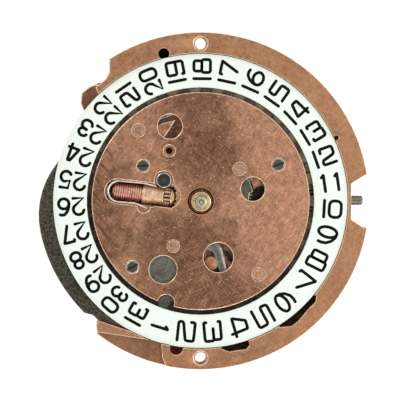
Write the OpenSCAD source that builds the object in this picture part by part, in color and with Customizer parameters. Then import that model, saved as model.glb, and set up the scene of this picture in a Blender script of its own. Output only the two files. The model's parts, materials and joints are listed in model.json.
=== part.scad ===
// Self-winding watch movement, modelled from the dial side back to the rotor.
// Millimetres. The origin is on the central axis, in the plane that the dial rests on.
// +Z points to the dial, +X along the winding stem and +Y to twelve o'clock.

/* [Main plate] */
// Diameter over the rim, 13 lignes
plate_d = 29.3; // [29.1:0.1:31]
// Thickness of the main plate
plate_t = 2.0; // [1.95:0.05:2.4]
// Radius of the plate where its rim is cut away beside the balance
cutaway_r = 12.3; // [12.0:0.1:12.6]
// Depth of the milled step at the seven o'clock rim
low_step = 0.5; // [0.3:0.1:0.9]
// Distance of the dial foot holes from the centre
dial_foot_at = 13.65; // [13.55:0.05:13.8]
// Diameter of the dial foot holes
dial_foot_d = 1.0; // [0.8:0.05:1.1]
// Distance of the inner face of the stem notch from the centre
notch_at = 13.1; // [13.05:0.05:13.3]

/* [Date ring] */
// Outer diameter of the date ring
ring_d = 25.56; // [25.3:0.02:25.6]
// Width of its printed band
band_w = 2.91; // [2.7:0.01:2.95]
// Length of the inner teeth beyond the band
ring_tooth_l = 1.02; // [0.9:0.01:1.04]
// Number of teeth, one for each day
days = 31; // [31]
// Thickness of the toothed flange
flange_t = 0.12; // [0.1:0.01:0.16]
// Drop of the printed face below the dial
ring_drop = 0.07; // [0.05:0.01:0.12]

/* [Guard plate] */
// Reach of the guard plate over the teeth of the date ring
guard_lap = 0.6; // [0.45:0.05:0.75]
// Thickness of the guard plate
guard_t = 0.25; // [0.22:0.01:0.3]
// Drop of its face below the dial
guard_drop = 0.02; // [0.02:0.01:0.05]
// Diameter of its centre hole
guard_hole_d = 2.28; // [2.0:0.02:2.6]
// Head diameter of its slotted screws
guard_screw_d = 1.04; // [0.9:0.02:1.2]
// Diameter of the studs that locate it
stud_d = 1.04; // [0.9:0.02:1.2]

/* [Hand fittings] */
// Outer diameter of the hour wheel pipe
hour_pipe_d = 1.7; // [1.6:0.02:1.8]
// Height of the hour pipe over the dial plane
hour_pipe_h = 0.75; // [0.5:0.05:1.0]
// Outer diameter of the cannon pinion
cannon_d = 1.0; // [0.94:0.02:1.06]
// Height of the cannon pinion over the dial plane
cannon_h = 1.3; // [1.1:0.05:1.5]
// Diameter of the seconds hand pivot
seconds_d = 0.26; // [0.2:0.01:0.3]
// Height of the seconds hand pivot over the dial plane
seconds_h = 1.75; // [1.6:0.05:1.9]

/* [Winding and setting] */
// Depth of the stem axis below the dial plane
stem_depth = 1.45; // [1.44:0.01:1.5]
// Diameter of the stem in the plate
stem_d = 0.9; // [0.84:0.02:0.96]
// Diameter over the stem thread
stem_thread_d = 0.84; // [0.7:0.02:0.86]
// Distance of the stem end from the centre
stem_end = 14.2; // [14.0:0.1:18]
// Diameter of the winding pinion
winding_d = 1.8; // [1.7:0.02:1.84]
// Diameter of the sliding pinion
sliding_d = 1.46; // [1.36:0.02:1.48]
// Travel of the stem when it is pulled to set the hands
stem_pull = 0.8; // [0.6:0.1:0.9]

/* [Going train] */
// Teeth of the barrel
barrel_teeth = 72; // [66:6:78]
// Tooth module of the barrel
barrel_module = 0.155; // [0.15:0.001:0.158]
// Height of the barrel drum
barrel_h = 1.1; // [0.9:0.05:1.15]
// Teeth of the centre wheel
centre_teeth = 80; // [80]
// Teeth of the third wheel
third_teeth = 75; // [75]
// Teeth of the seconds wheel
seconds_teeth = 80; // [80]
// Distance between the central axis and the third wheel
third_at = 4.5; // [4.4:0.05:4.6]
// Distance between the central axis and the escape wheel
escape_at = 3.96; // [3.9:0.02:4.0]
// Tip diameter of the escape wheel
escape_d = 4.4; // [4.2:0.1:4.5]
// Distance between the central axis and the balance
balance_at = 8.1; // [8.0:0.05:8.2]
// Diameter over the balance rim
balance_d = 8.6; // [8.2:0.1:8.7]
// Thickness of the train wheels
wheel_t = 0.14; // [0.1:0.01:0.15]

/* [Bridges and rotor] */
// Thickness of the bridges
bridge_t = 0.6; // [0.5:0.05:0.7]
// Outer radius of the bridges
bridge_r = 13.0; // [12.9:0.1:13.1]
// Gap between main plate and bridges
train_gap = 2.1; // [2.08:0.02:2.3]
// Teeth of the ratchet wheel
ratchet_teeth = 48; // [48]
// Teeth of the transmission wheel beside it
transmission_teeth = 32; // [32]
// Thickness of the automatic bridge
auto_t = 0.4; // [0.35:0.05:0.5]
// Radius of the heavy segment where it shows beside the date ring
weight_r = 14.26; // [14.0:0.02:14.4]
// Step from there to its part under the main plate
weight_step = 1.26; // [1.16:0.1:1.46]
// Width of the heavy segment's rim
weight_w = 2.7; // [2.0:0.1:3.0]
// Height of the heavy segment
weight_h = 1.15; // [1.0:0.05:1.3]

/* [Hidden] */
$fn = 64;
over = 3;
far = 24;
// Clearances
run = 0.03;
play = 0.06;
free = 0.12;
pivot_play = 0.015;

// Tooth counts of the motion work, the setting train and the date train
cannon_teeth = 12;
minute_teeth = 36;
minute_pinion_teeth = 10;
hour_teeth = 40;
motion_module = 0.095;
relay_teeth = 27;
setting_teeth = 24;
date_idler_teeth = 15;
date_relay_teeth = 30;
date_pinion_teeth = 12;
date_wheel_teeth = 32;
date_module = 0.101;
third_pinion_teeth = 10;
seconds_pinion_teeth = 10;
centre_pinion_teeth = 12;
escape_pinion_teeth = 8;
escape_teeth = 15;

// Heights of the dial side, from the dial down
plate_bot = -plate_t;
pocket_floor = 0.4;
guard_top = -guard_drop;
guard_bot = guard_top - guard_t;
band_d = ring_d - 2 * band_w;
ring_tooth_d = band_d - 2 * ring_tooth_l;
guard_d = ring_tooth_d + 2 * guard_lap;
flange_top = guard_bot - run;
flange_bot = flange_top - flange_t;
ring_top = -ring_drop;
ring_bevel = 0.18;
recess_floor = flange_bot - run;
boss_r = ring_tooth_d / 2 - 0.1;
recess_r = ring_d / 2 + play;
cover_t = 0.13;
cover_bot = guard_bot - cover_t;
date_wheel_top = flange_bot - 0.04;
date_wheel_bot = date_wheel_top - wheel_t;
hour_top = date_wheel_bot - 0.04;
hour_t = 0.16;
hour_bot = hour_top - hour_t;
minute_top = hour_bot - 0.16;
minute_bot = minute_top - wheel_t;
motion_floor = minute_bot - 0.1;
lever_top = recess_floor - 0.03;
lever_t = 0.2;
lever_bot = lever_top - lever_t;
lever_floor = lever_bot - 0.05;
stem_z = -stem_depth;

// Heights of the train side, from the main plate down
centre_top = plate_bot - 0.15;
centre_bot = centre_top - wheel_t;
crown_top = plate_bot - 0.3;
crown_bot = crown_top - 0.25;
escape_top = centre_bot - 0.16;
escape_bot = escape_top - wheel_t;
barrel_top = crown_bot - 0.1;
barrel_tooth_top = barrel_top - 0.05;
barrel_tooth_t = 0.25;
barrel_bot = barrel_top - barrel_h;
centre_pinion_bot = barrel_tooth_top - barrel_tooth_t - 0.05;
third_top = centre_pinion_bot - 0.2;
third_bot = third_top - wheel_t;
seconds_pinion_top = centre_pinion_bot - 0.08;
seconds_pinion_bot = third_bot - 0.15;
bridge_top = plate_bot - train_gap;
bridge_bot = bridge_top - bridge_t;
seconds_bot = bridge_top + 0.08;
seconds_top = seconds_bot + wheel_t;
ratchet_top = bridge_bot - 0.05;
ratchet_t = 0.24;
ratchet_bot = ratchet_top - ratchet_t;
relay_gear_top = ratchet_bot - 0.04;
relay_gear_bot = relay_gear_top - wheel_t;
auto_top = relay_gear_bot - 0.06;
auto_bot = auto_top - auto_t;
arm_top = auto_bot - 0.1;
arm_t = 0.3;
arm_bot = arm_top - arm_t;
weight_bot = arm_bot - 0.12;
weight_top = weight_bot + weight_h;

// Plan positions
function polar(r, a) = [r * cos(a), r * sin(a)];
function gap(p, q) = norm(q - p);
function heading(p, q) = atan2(q[1] - p[1], q[0] - p[0]);
// Point at distance a from p and b from q, on the left (side = 1) or right (side = -1) of the line p q
function meet(p, q, a, b, side) =
    let (d = gap(p, q), u = (q - p) / d, s = (a * a - b * b + d * d) / (2 * d),
         h = sqrt(max(a * a - s * s, 0)))
    p + s * u + side * h * [-u[1], u[0]];
function mesh_gap(n1, n2, m) = m * (n1 + n2) / 2;
// Phase of a wheel of n2 teeth that meshes with one of n1 teeth and phase f1, in direction a
function phase(f1, n1, n2, a) = a + 180 - (360 / n2) * ((f1 - a) * n1 / 360 + 0.5);

centre = [0, 0];
minute_at = polar(mesh_gap(cannon_teeth, minute_teeth, motion_module), 75);
hour_module = 2 * norm(minute_at) / (minute_pinion_teeth + hour_teeth);
setting_at = [5.5, 0];
relay_at = meet(setting_at, minute_at, mesh_gap(relay_teeth, setting_teeth, motion_module),
    mesh_gap(relay_teeth, minute_teeth, motion_module), 1);
date_idler_at = polar(mesh_gap(hour_teeth, date_idler_teeth, hour_module), 238.6);
date_relay_at = date_idler_at + polar(mesh_gap(date_idler_teeth, date_relay_teeth, hour_module), 238.6);
date_at = date_relay_at + polar(mesh_gap(date_pinion_teeth, date_wheel_teeth, date_module), 246);
barrel_at = polar(mesh_gap(barrel_teeth, centre_pinion_teeth, barrel_module), -55);
third_pos = polar(third_at, 75);
centre_module = 2 * third_at / (centre_teeth + third_pinion_teeth);
third_module = 2 * third_at / (third_teeth + seconds_pinion_teeth);
escape_pos = polar(escape_at, 200);
seconds_module = 2 * escape_at / (seconds_teeth + escape_pinion_teeth);
balance_pos = polar(balance_at, 178);
pallet_reach = escape_d * 0.577;
pallet_pos = escape_pos + polar(pallet_reach, heading(escape_pos, balance_pos));
crown_pos = [7.6, 0];
ratchet_module = 2 * gap(barrel_at, crown_pos) / (ratchet_teeth + transmission_teeth);

// Guard plate windows as [place, radius]
window_a = [[-2.67, 6.49], 1.07];
window_b = [[-2.73, 4.38], 0.5];
window_c = [[4.53, 1.05], 1.04];
window_d = [[1.53, -4.89], 1.3];
window_e = [date_at, 1.21];
window_f = [[-3.03, -8.84], 0.74];
guard_screw_places = [[[-5.01, 3.08], 5], [[6.73, 3.16], 20], [[-5.93, -5.7], 30]];
jumper_at = [-5.4, 6.16];
jumper_beak = polar(ring_tooth_d / 2 + 0.12, 8.5 * 360 / days);
cover_stud_at = [3.37, 2.81];
yoke_at = [5.03, -6.38];
stud_places = [jumper_at, cover_stud_at, yoke_at];

// Corrector plunger that lies in a half-round channel at nine o'clock
plunger_tip = [-2.1, 0.29];
plunger_turn = 173.4;
plunger_r = 0.85;
plunger_z = -0.95;
plunger_len = 3.03;
plunger_travel = 0.4;
spring_room = 2.67;
channel_len = plunger_len + plunger_travel + spring_room;
spring_stud_at = [-3.2, 1.83];
spring_stud_r = 0.65;
wire = 0.14;

// Levers
lever_at = [11.2, 1.9];
lever_pin_x = 10.75;
lever_swing = 24.3;
yoke_swing = 5.7;
jumper_swing = 6.3;
yoke_nose_x = 8.2;
lever_pivot_r = 0.22;
stud_pin_r = 0.29;

// Arbors and jewels
centre_arbor_r = 0.34;
seconds_r = seconds_d / 2;
seat_relief = 0.015;
hour_shoulder = 0.18;
seconds_relief = 0.01;
small_pivot_r = 0.13;
date_pivot_r = 0.18;
finger_reach = 2.25;
jewel_r = 0.55;
jewel_t = 0.28;
jewel_hole_r = 0.09;
balance_top = escape_bot - 0.75;
balance_rim_t = 0.35;
barrel_boss_r = 0.6;
crown_wheel_arbor_r = 0.38;
ratchet_r = ratchet_teeth * ratchet_module / 2 + ratchet_module;
click_at = barrel_at + polar(ratchet_r + 1.3, 8);
click_boss_r = 0.75;
click_w = 0.4;
click_pin_r = 0.3;
click_spring_at = click_at + [0.8, -3.0];

// Automatic winding
reverser_at = polar(2.8, 230);
reverser_teeth = 38;
reverser_pinion_teeth = 12;
rotor_pinion_teeth = 18;
rotor_module = 2 * norm(reverser_at) / (reverser_teeth + rotor_pinion_teeth);
reduction_teeth = 30;
reduction_pinion_teeth = 8;
reduction_at = meet(reverser_at, barrel_at, 2.75,
    mesh_gap(ratchet_teeth, reduction_pinion_teeth, ratchet_module), -1);
reduction_module = 2 * gap(reverser_at, reduction_at) / (reduction_teeth + reverser_pinion_teeth);
bearing_r = 1.5;
weight_end_r = 7.3;
weight_turn = 192;
weight_lap = 0.6;

// Phases of the meshing wheels
minute_phase = phase(0, cannon_teeth, minute_teeth, heading(centre, minute_at));
relay_phase = phase(minute_phase, minute_teeth, relay_teeth, heading(minute_at, relay_at));
setting_phase = phase(relay_phase, relay_teeth, setting_teeth, heading(relay_at, setting_at));
hour_phase = phase(0, minute_pinion_teeth, hour_teeth, heading(minute_at, centre));
date_idler_phase = phase(hour_phase, hour_teeth, date_idler_teeth, heading(centre, date_idler_at));
date_relay_phase = phase(date_idler_phase, date_idler_teeth, date_relay_teeth,
    heading(date_idler_at, date_relay_at));
date_phase = phase(0, date_pinion_teeth, date_wheel_teeth, heading(date_relay_at, date_at));
third_phase = phase(0, centre_teeth, third_pinion_teeth, heading(centre, third_pos));
seconds_phase = phase(0, third_teeth, seconds_pinion_teeth, heading(third_pos, centre));
escape_phase = phase(0, seconds_teeth, escape_pinion_teeth, heading(centre, escape_pos));
barrel_phase = phase(0, centre_pinion_teeth, barrel_teeth, heading(centre, barrel_at));
transmission_phase = phase(0, ratchet_teeth, transmission_teeth, heading(barrel_at, crown_pos));
reverser_phase = phase(0, rotor_pinion_teeth, reverser_teeth, heading(centre, reverser_at));
reduction_phase = phase(0, reverser_pinion_teeth, reduction_teeth, heading(reverser_at, reduction_at));
reduction_pinion_phase = phase(0, ratchet_teeth, reduction_pinion_teeth, heading(barrel_at, reduction_at));

// Pillars and screws on the bridge side
foot_at = bridge_r - 0.95;
train_screws = [polar(foot_at, 111), polar(foot_at, 39.3), [-4.7, -4.6]];
barrel_screws = [polar(foot_at, 17), polar(foot_at, 258.8), polar(foot_at, -27)];
cock_screw = polar(11.7, 140);
auto_screws = [[-6.2, 6.6], [6.4, 5.2], [-1.2, -8.2]];
wall_inset = 0.05;
bridge_wall = 0.5;
screw_head_d = 1.5;
screw_thread_d = 0.8;

copper = "#b98263";
brass = "#b99a5f";
steel = "#8a8c88";
dark_steel = "#62645f";
white = "#eef3ea";
heavy = "#4a4944";
ruby = "#b0405a";

// Basic shapes

module at(p) {
    translate([p[0], p[1], 0]) children();
}

module slab(low, high) {
    translate([0, 0, low]) linear_extrude(high - low) children();
}

module rod(r, low, high) {
    translate([0, 0, low]) cylinder(r = r, h = high - low);
}

// Arbor that narrows slightly between two heights
module taper(r_low, r_high, low, high) {
    translate([0, 0, low]) cylinder(r1 = r_low, r2 = r_high, h = high - low);
}

module annulus(outer, inner) {
    difference() {
        circle(outer);
        circle(inner);
    }
}

// Flat link between two points, with round ends a hair wider than the link
module bar(p, q, w) {
    side = w * 0.998;
    translate(p) rotate(heading(p, q)) translate([0, -side / 2]) square([gap(p, q), side]);
    translate(p) circle(w / 2, $fn = 24);
    translate(q) circle(w / 2, $fn = 24);
}

// Links along a list of points
module path(points, w) {
    for (i = [0 : len(points) - 2]) bar(points[i], points[i + 1], w);
}

function arc(r, a, b, steps) = [for (i = [0 : steps]) polar(r, a + (b - a) * i / steps)];

module sector(r, a, b) {
    polygon(concat([[0, 0]], arc(r / cos((b - a) / 12), a, b, 6)));
}

// Gear outline: straight flanks to the pitch circle, then narrowing to the tip
function tooth(n, m, i, f, width, head) =
    let (p = 360 / n, c = f + i * p, r = n * m / 2)
    [polar(r - 1.35 * m, c - p * (width / 2 + 0.03)), polar(r, c - p * width / 2),
     polar(r + head * m, c - p * width / 6), polar(r + head * m, c + p * width / 6),
     polar(r, c + p * width / 2), polar(r - 1.35 * m, c + p * (width / 2 + 0.03))];

module gear_2d(n, m, f = 0, width = 0.46, head = 1.0) {
    polygon([for (i = [0 : n - 1]) each tooth(n, m, i, f, width, head)]);
}

module pinion_2d(n, m, f = 0) {
    gear_2d(n, m, f, 0.4, 0.75);
}

// Spoked wheel outline
module wheel_2d(n, m, f, hub, spokes, spoke_w) {
    rim = n * m / 2 - 2.6 * m;
    difference() {
        gear_2d(n, m, f);
        difference() {
            circle(rim);
            circle(hub);
            for (i = [0 : spokes - 1])
                rotate(i * 360 / spokes) translate([0, -spoke_w / 2]) square([rim, spoke_w]);
        }
    }
}

// Slotted screw head with its shank, top face at z = 0 and the shank below
module slotted_screw(head_d, head_t, shank_d, length, slot_w, slot_turn) {
    difference() {
        union() {
            rod(head_d / 2, -head_t, 0);
            rod(shank_d / 2, -length, -head_t);
        }
        rotate(slot_turn)
            translate([-head_d, -slot_w / 2, -head_t * 0.45]) cube([2 * head_d, slot_w, head_t]);
    }
}

// Dial side

// Cut outside the date ring where the balance and rotor need the room
module rim_cutaway_2d() {
    difference() {
        polygon([[-7.89, far], [-7.89, 11.23], [-8.19, 10.62], [-8.53, 10.32], [-9.1, 9.85], [-8.5, 8.5],
            [-4, 0], [-4.2, -11.5], [-4.45, -11.85], [-8.8, -10.38], [-9.03, -10.6], [-9.06, -11.0],
            [-8.98, -11.5], [-8.9, -far], [-far, -far], [-far, far]]);
        circle(cutaway_r);
    }
}

module stem_notch_2d() {
    polygon([[notch_at, 1.5], [notch_at + 1.2, 2.25], [far, 2.25], [far, -2.35], [notch_at + 1.2, -2.35],
        [notch_at + 0.9, -2.2], [notch_at, -1.6]]);
}

module plate_2d() {
    difference() {
        circle(plate_d / 2);
        rim_cutaway_2d();
        stem_notch_2d();
    }
}

// Milled step at the lower left of the rim, behind a curved wall
module low_step_2d() {
    polygon([[-2.95, -far], [-3.1, -14.2], [-3.35, -13.5], [-3.42, -12.55], [-3.45, -12.2], [-far, -9],
        [-far, -far]]);
}

// Blind pockets in the lower right of the rim
module rim_pockets_2d() {
    polygon([[6.9, -10.98], [7.9, -10.9], [8.45, -10.5], [9.5, -9.28], [10.0, -8.8], [10.08, -8.3],
        [9.2, -7.8], [6.4, -10.2]]);
    polygon([[1.8, -12.85], [2.5, -13.1], [3.3, -12.97], [3.95, -12.9], [4.25, -12.55], [4.1, -11.9],
        [2.0, -12.1]]);
}

module yoke_2d(extra = 0) {
    path([yoke_at, [7.3, -2.6], [yoke_nose_x - 0.05, 0], [yoke_nose_x - 0.1, 2.2]], 0.5 + 2 * extra);
    translate(yoke_at) circle(0.75 + extra);
}

module setting_lever_2d(extra = 0) {
    path([[lever_pin_x, 0], lever_at, [9.3, 2.9]], 0.5 + 2 * extra);
    translate(lever_at) circle(0.62 + extra);
}

module yoke_spring_2d(extra = 0) {
    path([[1.15, -5.75], [0.95, -4.9], [1.6, -4.2], [2.3, -4.5], [2.6, -5.2], [3.6, -5.1], [5.05, -5.2]],
        0.24 + 2 * extra);
    translate([1.15, -5.85]) circle(0.5 + extra);
}

module jumper_2d(extra = 0) {
    path([jumper_at, [-3.6, 7.35], [-1.9, 7.95]], 0.5 + 2 * extra);
    bar([-1.9, 7.95], jumper_beak, 0.26 + 2 * extra);
    translate(jumper_at) circle(0.58 + extra);
}

module jumper_spring_2d(extra = 0) {
    path([[3.3, 6.9], [2.2, 7.3], [0.4, 7.35], [-1.75, 7.5]], 0.2 + 2 * extra);
    translate([3.3, 6.7]) circle(0.5 + extra);
}

// Plate covering the minute and setting wheels, with a stepped edge in the three o'clock window
module cover_2d(extra = 0) {
    difference() {
        union() {
            path([minute_at, relay_at], 1.5 + 2 * extra);
            bar(cover_stud_at, minute_at, 1.5 + 2 * extra);
            translate(relay_at) circle(1.05 + extra);
            polygon([relay_at + [0, -0.9], relay_at + [1.0, -0.7], relay_at + [0.95, -0.1],
                relay_at + [1.35, 0.15], relay_at + [1.05, 1.0], relay_at + [0.2, 1.9], relay_at]);
        }
        circle(1.25 - extra);
    }
}

// A shape in each of the places that it takes as it turns
module swept(pivot, turns) {
    for (a = turns) translate(pivot) rotate(a) translate(-pivot) children();
}

// Half-round channel for the plunger, open to the dial side
module plunger_frame() {
    translate([plunger_tip[0], plunger_tip[1], plunger_z]) rotate(plunger_turn) children();
}

module channel(extra) {
    plunger_frame() {
        translate([-extra, 0, 0]) rotate([0, 90, 0]) cylinder(r = plunger_r + extra, h = channel_len);
        translate([-extra, -plunger_r - extra, 0]) cube([channel_len, 2 * (plunger_r + extra), over]);
    }
}

module motion_pockets() {
    slab(motion_floor, over) {
        circle(hour_teeth * hour_module / 2 + hour_module + free);
        translate(minute_at) circle(minute_teeth * motion_module / 2 + motion_module + free);
        translate(relay_at) circle(relay_teeth * motion_module / 2 + motion_module + free);
        translate(setting_at) circle(setting_teeth * motion_module / 2 + motion_module + free);
    }
}

module date_pockets() {
    slab(hour_bot - 0.05, over) {
        translate(date_relay_at) circle(date_relay_teeth * hour_module / 2 + hour_module + free);
        translate(date_idler_at) circle(date_idler_teeth * hour_module / 2 + hour_module + free);
    }
    slab(date_wheel_bot - 0.05, over) translate(date_at) circle(finger_reach + 0.07);
}

module keyless_pockets() {
    slab(lever_floor, over) {
        swept(yoke_at, [0, yoke_swing / 2, yoke_swing]) yoke_2d(free);
        swept(lever_at, [0, lever_swing / 3, lever_swing * 2 / 3, lever_swing]) setting_lever_2d(free);
        yoke_spring_2d(free);
        translate(window_d[0]) circle(window_d[1] + 0.15);
    }
    slab(stem_z, over) bar([lever_pin_x, -0.02], [lever_pin_x + stem_pull, -0.02], 0.5);
    translate([5.9, -winding_d / 2 - play, plate_bot - over])
        cube([10.35 - 5.9, winding_d + 2 * play, over + plate_t + over]);
    translate([10, 0, stem_z]) rotate([0, 90, 0]) cylinder(d = stem_d + 2 * run, h = over + 1);
}

module main_plate() {
    color(copper)
    difference() {
        slab(plate_bot, 0) plate_2d();
        slab(recess_floor, over) annulus(recess_r, boss_r);
        slab(guard_bot, over) circle(boss_r + 0.01);
        slab(-low_step, over) difference() {
            low_step_2d();
            circle(recess_r - 0.01);
        }
        slab(-low_step - 0.35, over) intersection() {
            low_step_2d();
            circle(recess_r);
            translate([-far, -far]) square([far - 4.3, far]);
        }
        motion_pockets();
        date_pockets();
        keyless_pockets();
        channel(play);
        slab(cover_bot - 0.03, over) cover_2d(free);
        slab(flange_bot - 0.04, over) {
            swept(jumper_at, [0, -jumper_swing / 2, -jumper_swing]) jumper_2d(free + 0.04);
            jumper_spring_2d(free);
        }
        // Window pockets
        slab(guard_bot - 0.75, over) intersection() {
            translate(window_a[0]) circle(window_a[1] + 0.1);
            translate(window_a[0]) rotate(58) translate([-3, -3.1]) square([6, 3]);
        }
        slab(guard_bot - 0.3, over) translate(window_f[0]) circle(window_f[1] + 0.15);
        at(window_b[0]) rod(0.3, -1.4, over);
        slab(guard_bot - 0.25, over) translate(window_c[0]) circle(window_c[1] + 0.2);
        // Screw and stud holes
        for (s = guard_screw_places) at(s[0]) rod(0.22, -1.3, over);
        for (s = stud_places) at(s) rod(stud_pin_r + 0.01, -1.3, over);
        at(spring_stud_at) rod(stud_pin_r + 0.01, -1.4, over);
        // Dial feet, and the small holes beside the date ring
        for (y = [dial_foot_at, -dial_foot_at]) at([0, y]) {
            rod(dial_foot_d / 2, plate_bot - over, over);
            translate([0, 0, -0.12]) cylinder(d1 = dial_foot_d, d2 = dial_foot_d + 0.3, h = 0.125);
        }
        slab(plate_bot + pocket_floor, over) rim_pockets_2d();
        at([-3.2, 12.79]) rod(0.48, -1.5, over);
        at([-2.13, -12.8]) rod(0.58, -1.5, over);
        at([11.8, 5.5]) rod(0.2, -1.2, over);
        // Bores of the train
        rod(centre_arbor_r + run, plate_bot - over, over);
        for (p = [minute_at, relay_at, setting_at, date_idler_at])
            at(p) rod(small_pivot_r + 0.02, -1.7, over);
        for (p = [date_relay_at, date_at]) at(p) rod(date_pivot_r + 0.02, -1.5, over);
        for (p = [third_pos, escape_pos, pallet_pos, balance_pos])
            at(p) rod(jewel_r, plate_bot - 1, plate_bot + jewel_t);
        at(barrel_at) rod(0.75, plate_bot - 1, plate_bot + 0.7);
        for (p = concat(train_screws, barrel_screws, [cock_screw]))
            at(p) rod(screw_thread_d / 2, plate_bot - 1, plate_bot + 1);
        // Setting pivots
        at(lever_at) rod(lever_pivot_r + run, -1.6, over);
    }
}

module date_ring() {
    n = days;
    pitch = 360 / n;
    root = band_d / 2;
    tip = ring_tooth_d / 2;
    // Half widths of a tooth at its root and tip, as shares of the pitch
    root_share = 0.27;
    tip_share = 0.1;
    color(white)
    union() {
        rotate_extrude() polygon([[root, flange_bot + 0.02], [ring_d / 2, flange_bot + 0.02],
            [ring_d / 2, ring_top - ring_bevel / 3], [ring_d / 2 - ring_bevel, ring_top], [root, ring_top]]);
        slab(flange_bot, flange_top) difference() {
            circle(ring_d / 2 - 0.08);
            polygon([for (i = [0 : n - 1]) each [
                polar(root + 0.04, (i - root_share) * pitch), polar(tip, (i - tip_share) * pitch),
                polar(tip, (i + tip_share) * pitch), polar(root + 0.04, (i + root_share) * pitch)]]);
        }
    }
}

module guard_slot_2d() {
    bar([-7.25, 0.88], [-4.4, 0.55], 2.12);
    bar([-5, 0.62], plunger_tip + [0.0, 0.0], 1.84);
    translate([-2.76, 0.46]) circle(1.0);
    translate(spring_stud_at) circle(0.8);
    translate([-4.95, -0.45]) circle(0.55);
}

module guard_plate() {
    color(copper)
    difference() {
        slab(guard_bot, guard_top) difference() {
            circle(guard_d / 2);
            circle(guard_hole_d / 2);
            for (w = [window_a, window_b, window_c, window_d, window_e, window_f])
                translate(w[0]) circle(w[1]);
            for (s = guard_screw_places) translate(s[0]) circle(0.26);
            for (s = stud_places) translate(s) circle(stud_d / 2 + run);
            translate(date_relay_at) circle(stud_d / 2);
            guard_slot_2d();
        }
        for (s = guard_screw_places) at(s[0]) rod(guard_screw_d / 2 + 0.03, guard_top - 0.12, over);
    }
}

module guard_plate_screws() {
    color(steel) for (s = guard_screw_places)
        translate([s[0][0], s[0][1], guard_top + 0.01])
            slotted_screw(guard_screw_d, 0.125, 0.4, 1.1, 0.17, s[1]);
}

module guard_plate_studs() {
    color(copper) {
        for (s = stud_places) at(s) {
            rod(stud_d / 2, guard_bot - 0.004, guard_top);
            rod(stud_pin_r, -1.25, guard_bot);
        }
        at(date_relay_at) rod(stud_d / 2, guard_bot, guard_top);
    }
}

module hour_wheel() {
    pipe = hour_pipe_d / 2;
    color(brass)
    difference() {
        union() {
            slab(hour_bot, hour_top) gear_2d(hour_teeth, hour_module, hour_phase);
            rod(pipe + hour_shoulder, hour_bot - 0.1, guard_top + 0.005);
            rod(pipe, guard_top, hour_pipe_h);
        }
        rod(cannon_d / 2 + run, -over, over);
        translate([0, 0, hour_pipe_h - 0.08])
            cylinder(r1 = cannon_d / 2 + run, r2 = cannon_d / 2 + run + 0.1, h = 0.09);
    }
}

module cannon_pinion() {
    color(steel)
    difference() {
        union() {
            slab(minute_bot - 0.04, minute_top + 0.04) pinion_2d(cannon_teeth, motion_module);
            taper(cannon_d / 2 - seat_relief, cannon_d / 2 - 2 * seat_relief, minute_top + 0.04, hour_pipe_h);
            rod(cannon_d / 2, hour_pipe_h, cannon_h);
        }
        rod(centre_arbor_r + 0.02, -over, cannon_h - 0.3);
        rod(seconds_r + 0.04, -over, over);
    }
}

module minute_wheel() {
    color(brass) at(minute_at) {
        slab(minute_bot, minute_top) gear_2d(minute_teeth, motion_module, minute_phase);
        slab(minute_top - 0.01, hour_top + 0.04) pinion_2d(minute_pinion_teeth, hour_module, 0);
        rod(small_pivot_r, -1.65, minute_bot + 0.01);
        rod(small_pivot_r, hour_top + 0.03, cover_bot + 0.08);
    }
}

module minute_train_cover() {
    color(dark_steel) difference() {
        slab(cover_bot, guard_bot - 0.005) cover_2d();
        for (p = [minute_at, relay_at]) at(p) rod(small_pivot_r + 0.02, -over, over);
        at(cover_stud_at) rod(0.55, -over, over);
    }
}

module intermediate_setting_wheel() {
    color(brass) at(relay_at) {
        slab(minute_bot, minute_top) gear_2d(relay_teeth, motion_module, relay_phase);
        rod(small_pivot_r, -1.55, cover_bot + 0.08);
        rod(0.3, minute_top, cover_bot - 0.03);
    }
}

module setting_wheel() {
    color(dark_steel) at(setting_at) {
        slab(minute_bot, minute_top) gear_2d(setting_teeth, motion_module, setting_phase);
        rod(small_pivot_r, -1.55, minute_top + 0.12);
    }
}

module date_idler() {
    color(brass) at(date_idler_at) {
        slab(hour_bot + 0.02, hour_top) gear_2d(date_idler_teeth, hour_module, date_idler_phase);
        rod(small_pivot_r, -1.45, hour_bot + 0.03);
        rod(0.25, hour_top - 0.01, guard_bot - 0.03);
    }
}

module date_intermediate_wheel() {
    color(brass) at(date_relay_at) {
        slab(hour_bot + 0.02, hour_top) gear_2d(date_relay_teeth, hour_module, date_relay_phase);
        slab(hour_top - 0.01, date_wheel_top) pinion_2d(date_pinion_teeth, date_module, 0);
        rod(date_pivot_r, -1.45, hour_bot + 0.03);
    }
}

module date_driving_wheel() {
    color(steel) at(date_at) {
        slab(date_wheel_bot, date_wheel_top) gear_2d(date_wheel_teeth, date_module, date_phase);
        rod(date_pivot_r, -1.25, date_wheel_bot + 0.01);
        slab(date_wheel_top - 0.01, flange_bot + 0.02) circle(0.95);
        slab(flange_bot + 0.01, flange_top - 0.01) {
            circle(0.95);
            bar([0, 0], polar(finger_reach - 0.15, 60), 0.3);
        }
    }
}

module date_jumper() {
    color(steel) difference() {
        slab(flange_bot, flange_top) jumper_2d();
        at(jumper_at) rod(stud_pin_r + run, -over, over);
    }
}

module date_jumper_spring() {
    color(steel) slab(flange_bot + 0.01, flange_top - 0.01) jumper_spring_2d();
}

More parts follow.
